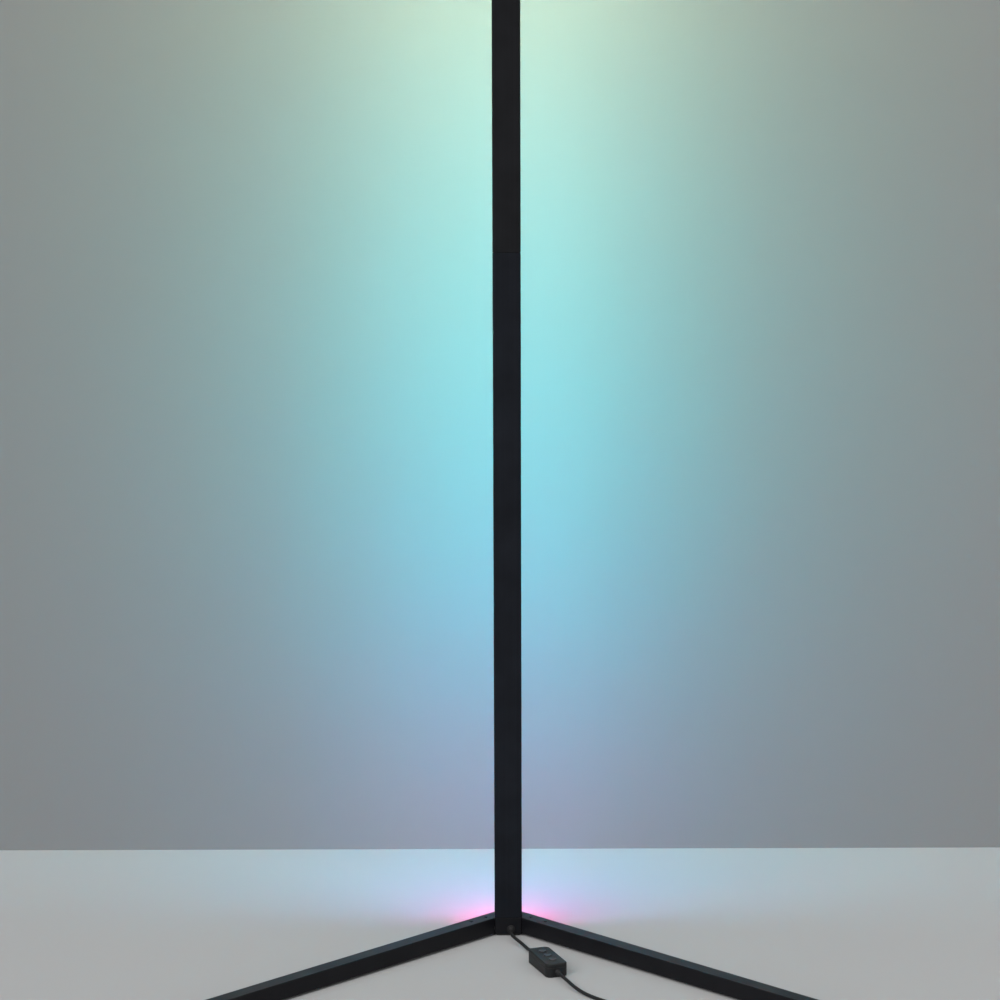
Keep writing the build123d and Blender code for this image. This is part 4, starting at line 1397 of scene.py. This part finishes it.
@dataclass
class Leads:
    """The lamp lead to the controller and the supply lead with its coil to the plug."""

    lamp_length: float = 0.0495
    supply_length: float = 1.43
    diameter: float = 2.5 * MM

    def build(self, dresser: Dresser, on_lamp_lead: list[Piece], on_supply_lead: list[Piece]) -> None:
        """Args:
            dresser: gives them their finish.
            on_lamp_lead: pieces along the lamp lead; not used.
            on_supply_lead: pieces along the supply lead; not used.
        """
        lamp_lead = Cord("lamp_lead_flex", LAMP_LEAD_ROUTE, self.diameter).build()
        dresser.dress(lamp_lead, "cord_jacket", "lamp_lead")
        route = SUPPLY_LEAD_ROUTE + CoilTurns().points() + PLUG_TAIL_ROUTE
        supply_lead = Cord("supply_lead_flex", route, self.diameter).build()
        dresser.dress(supply_lead, "cord_jacket", "supply_lead", "lead_coil", "plug_tail")


# Stage


class LampKind(Enum):
    """Kinds of studio lamp: a square soft box, or one so far off that it lights every place alike."""

    BOX = "AREA"
    FAR = "SUN"


@dataclass(frozen=True)
class SoftLamp:
    """One soft studio lamp, whose breadth is a box's side in metres or a far lamp's angle in degrees."""

    name: str
    kind: LampKind
    place: Point
    target: Point
    breadth: float
    power: float

    def build(self) -> None:
        """Hang the lamp and aim it."""
        lamp = bpy.data.lights.new(self.name, self.kind.value)
        lamp.energy = self.power
        if self.kind is LampKind.BOX:
            lamp.shape = "SQUARE"
            lamp.size = self.breadth
        else:
            lamp.angle = math.radians(self.breadth)
        hung = into_scene(self.name, lamp)
        hung.location = self.place
        hung.rotation_euler = (Vector(self.target) - Vector(self.place)).to_track_quat("-Z", "Y").to_euler()


@dataclass
class Studio:
    """Pale floor, a grey backdrop that stands on it, soft lamps and the camera."""

    backdrop: float = 0.215
    floor_reach: float = 12.0
    half_width: float = 12.0
    height: float = 3.2
    floor_paper: tuple[Colour, Colour] = ((0.5, 0.5, 0.5), (0.48, 0.48, 0.48))
    back_paper: tuple[Colour, Colour] = ((0.26, 0.26, 0.26), (0.25, 0.25, 0.25))
    world: Colour = (0.6, 0.6, 0.605)
    camera_place: Point = (-5.15 * MM, -2.222, 0.7145)
    camera_pitch: float = 10.0
    camera_roll: float = -0.17
    camera_reach: float = 100.0
    focal_pixels: float = 3140.0
    image_side: float = 1000.0
    sensor: float = 36.0
    lamps: tuple[SoftLamp, ...] = (
        SoftLamp("key", LampKind.FAR, (-1.9, -2.6, 2.6), (0.0, 0.0, 0.3), breadth=35.0, power=1.35),
        SoftLamp("fill", LampKind.BOX, (2.2, -2.2, 1.6), (0.0, 0.0, 0.4), breadth=1.8, power=10.0),
        SoftLamp("top", LampKind.BOX, (0.0, -0.7, 3.0), (0.0, -0.05, 0.0), breadth=1.4, power=8.0),
    )

    def paper_set(self) -> None:
        """Lay the floor and stand the backdrop on it."""
        floor = ((-self.floor_reach, 0.0), (self.floor_reach, 0.0))
        upright = ((self.backdrop, 0.0), (self.backdrop, self.height))
        self.paper_sheet("paper_floor", floor, self.floor_paper)
        self.paper_sheet("paper_backdrop", upright, self.back_paper)

    def paper_sheet(self, name: str, profile: tuple, tones: tuple[Colour, Colour]) -> None:
        """Stretch a flat sheet across the stage.

        Args:
            name: the sheet's name.
            profile: distance back and height of its two long edges.
            tones: its two close colours.
        """
        near, far = profile
        left, right = -self.half_width, self.half_width
        mesh = bpy.data.meshes.new(name)
        mesh.from_pydata([(left, *near), (right, *near), (right, *far), (left, *far)], [], [(0, 1, 2, 3)])
        mesh.materials.append(self.paper_material(name, tones))
        into_scene(name, mesh)

    def paper_material(self, name: str, tones: tuple[Colour, Colour]) -> bpy.types.Material:
        """Matt paper that is clear from behind, so that the lamp can be seen from every side.

        Args:
            name: the material's name.
            tones: two close colours that it drifts between.

        Returns:
            The material.
        """
        made, graph = blank_material(name)
        paint = graph.mix(graph.noise(graph.object_place(), scale=3.0, detail=3.0), *tones)
        paper = graph.node("ShaderNodeBsdfDiffuse", {"Color": paint}).outputs[0]
        clear = graph.node("ShaderNodeBsdfTransparent", {}).outputs[0]
        both = graph.node("ShaderNodeMixShader", {0: graph.facing("Backfacing"), 1: paper, 2: clear})
        graph.node("ShaderNodeOutputMaterial", {"Surface": both.outputs[0]})
        return made

    def daylight(self) -> None:
        """Even pale light from all round."""
        world = bpy.data.worlds.new("studio")
        world.use_nodes = True
        world.node_tree.nodes["Background"].inputs["Color"].default_value = (*self.world, 1.0)
        bpy.context.scene.world = world

    def camera(self) -> None:
        """Camera at the photograph's viewpoint: pitched down, rolled a little, no shift."""
        lens = bpy.data.cameras.new("viewpoint")
        lens.sensor_width = self.sensor
        lens.lens = self.sensor * self.focal_pixels / self.image_side
        lens.clip_end = self.camera_reach
        made = into_scene("viewpoint", lens)
        made.location = self.camera_place
        pitch = Matrix.Rotation(math.radians(90.0 - self.camera_pitch), 3, "X")
        roll = Matrix.Rotation(math.radians(self.camera_roll), 3, "Z")
        made.rotation_euler = (pitch @ roll).to_euler()
        bpy.context.scene.camera = made

    def build(self) -> None:
        """Set up the whole stage."""
        self.paper_set()
        for lamp in self.lamps:
            lamp.build()
        self.daylight()
        self.camera()
        bpy.context.scene.view_settings.view_transform = "Standard"


def main() -> None:
    """Build the looks in order: stage, finishes, cord fittings, cords."""
    logging.basicConfig(level=logging.INFO, format="%(name)s: %(message)s")
    Studio().build()
    dresser = Dresser()
    dresser.mix_all()
    dresser.dress_frame()
    Gland().build(dresser)
    controller = Controller().build(dresser)
    plug = UsbPlug().build(dresser)
    strap = CoilStrap().build(dresser)
    Leads().build(dresser, controller, plug + strap)


if __name__ == "__main__":
    main()
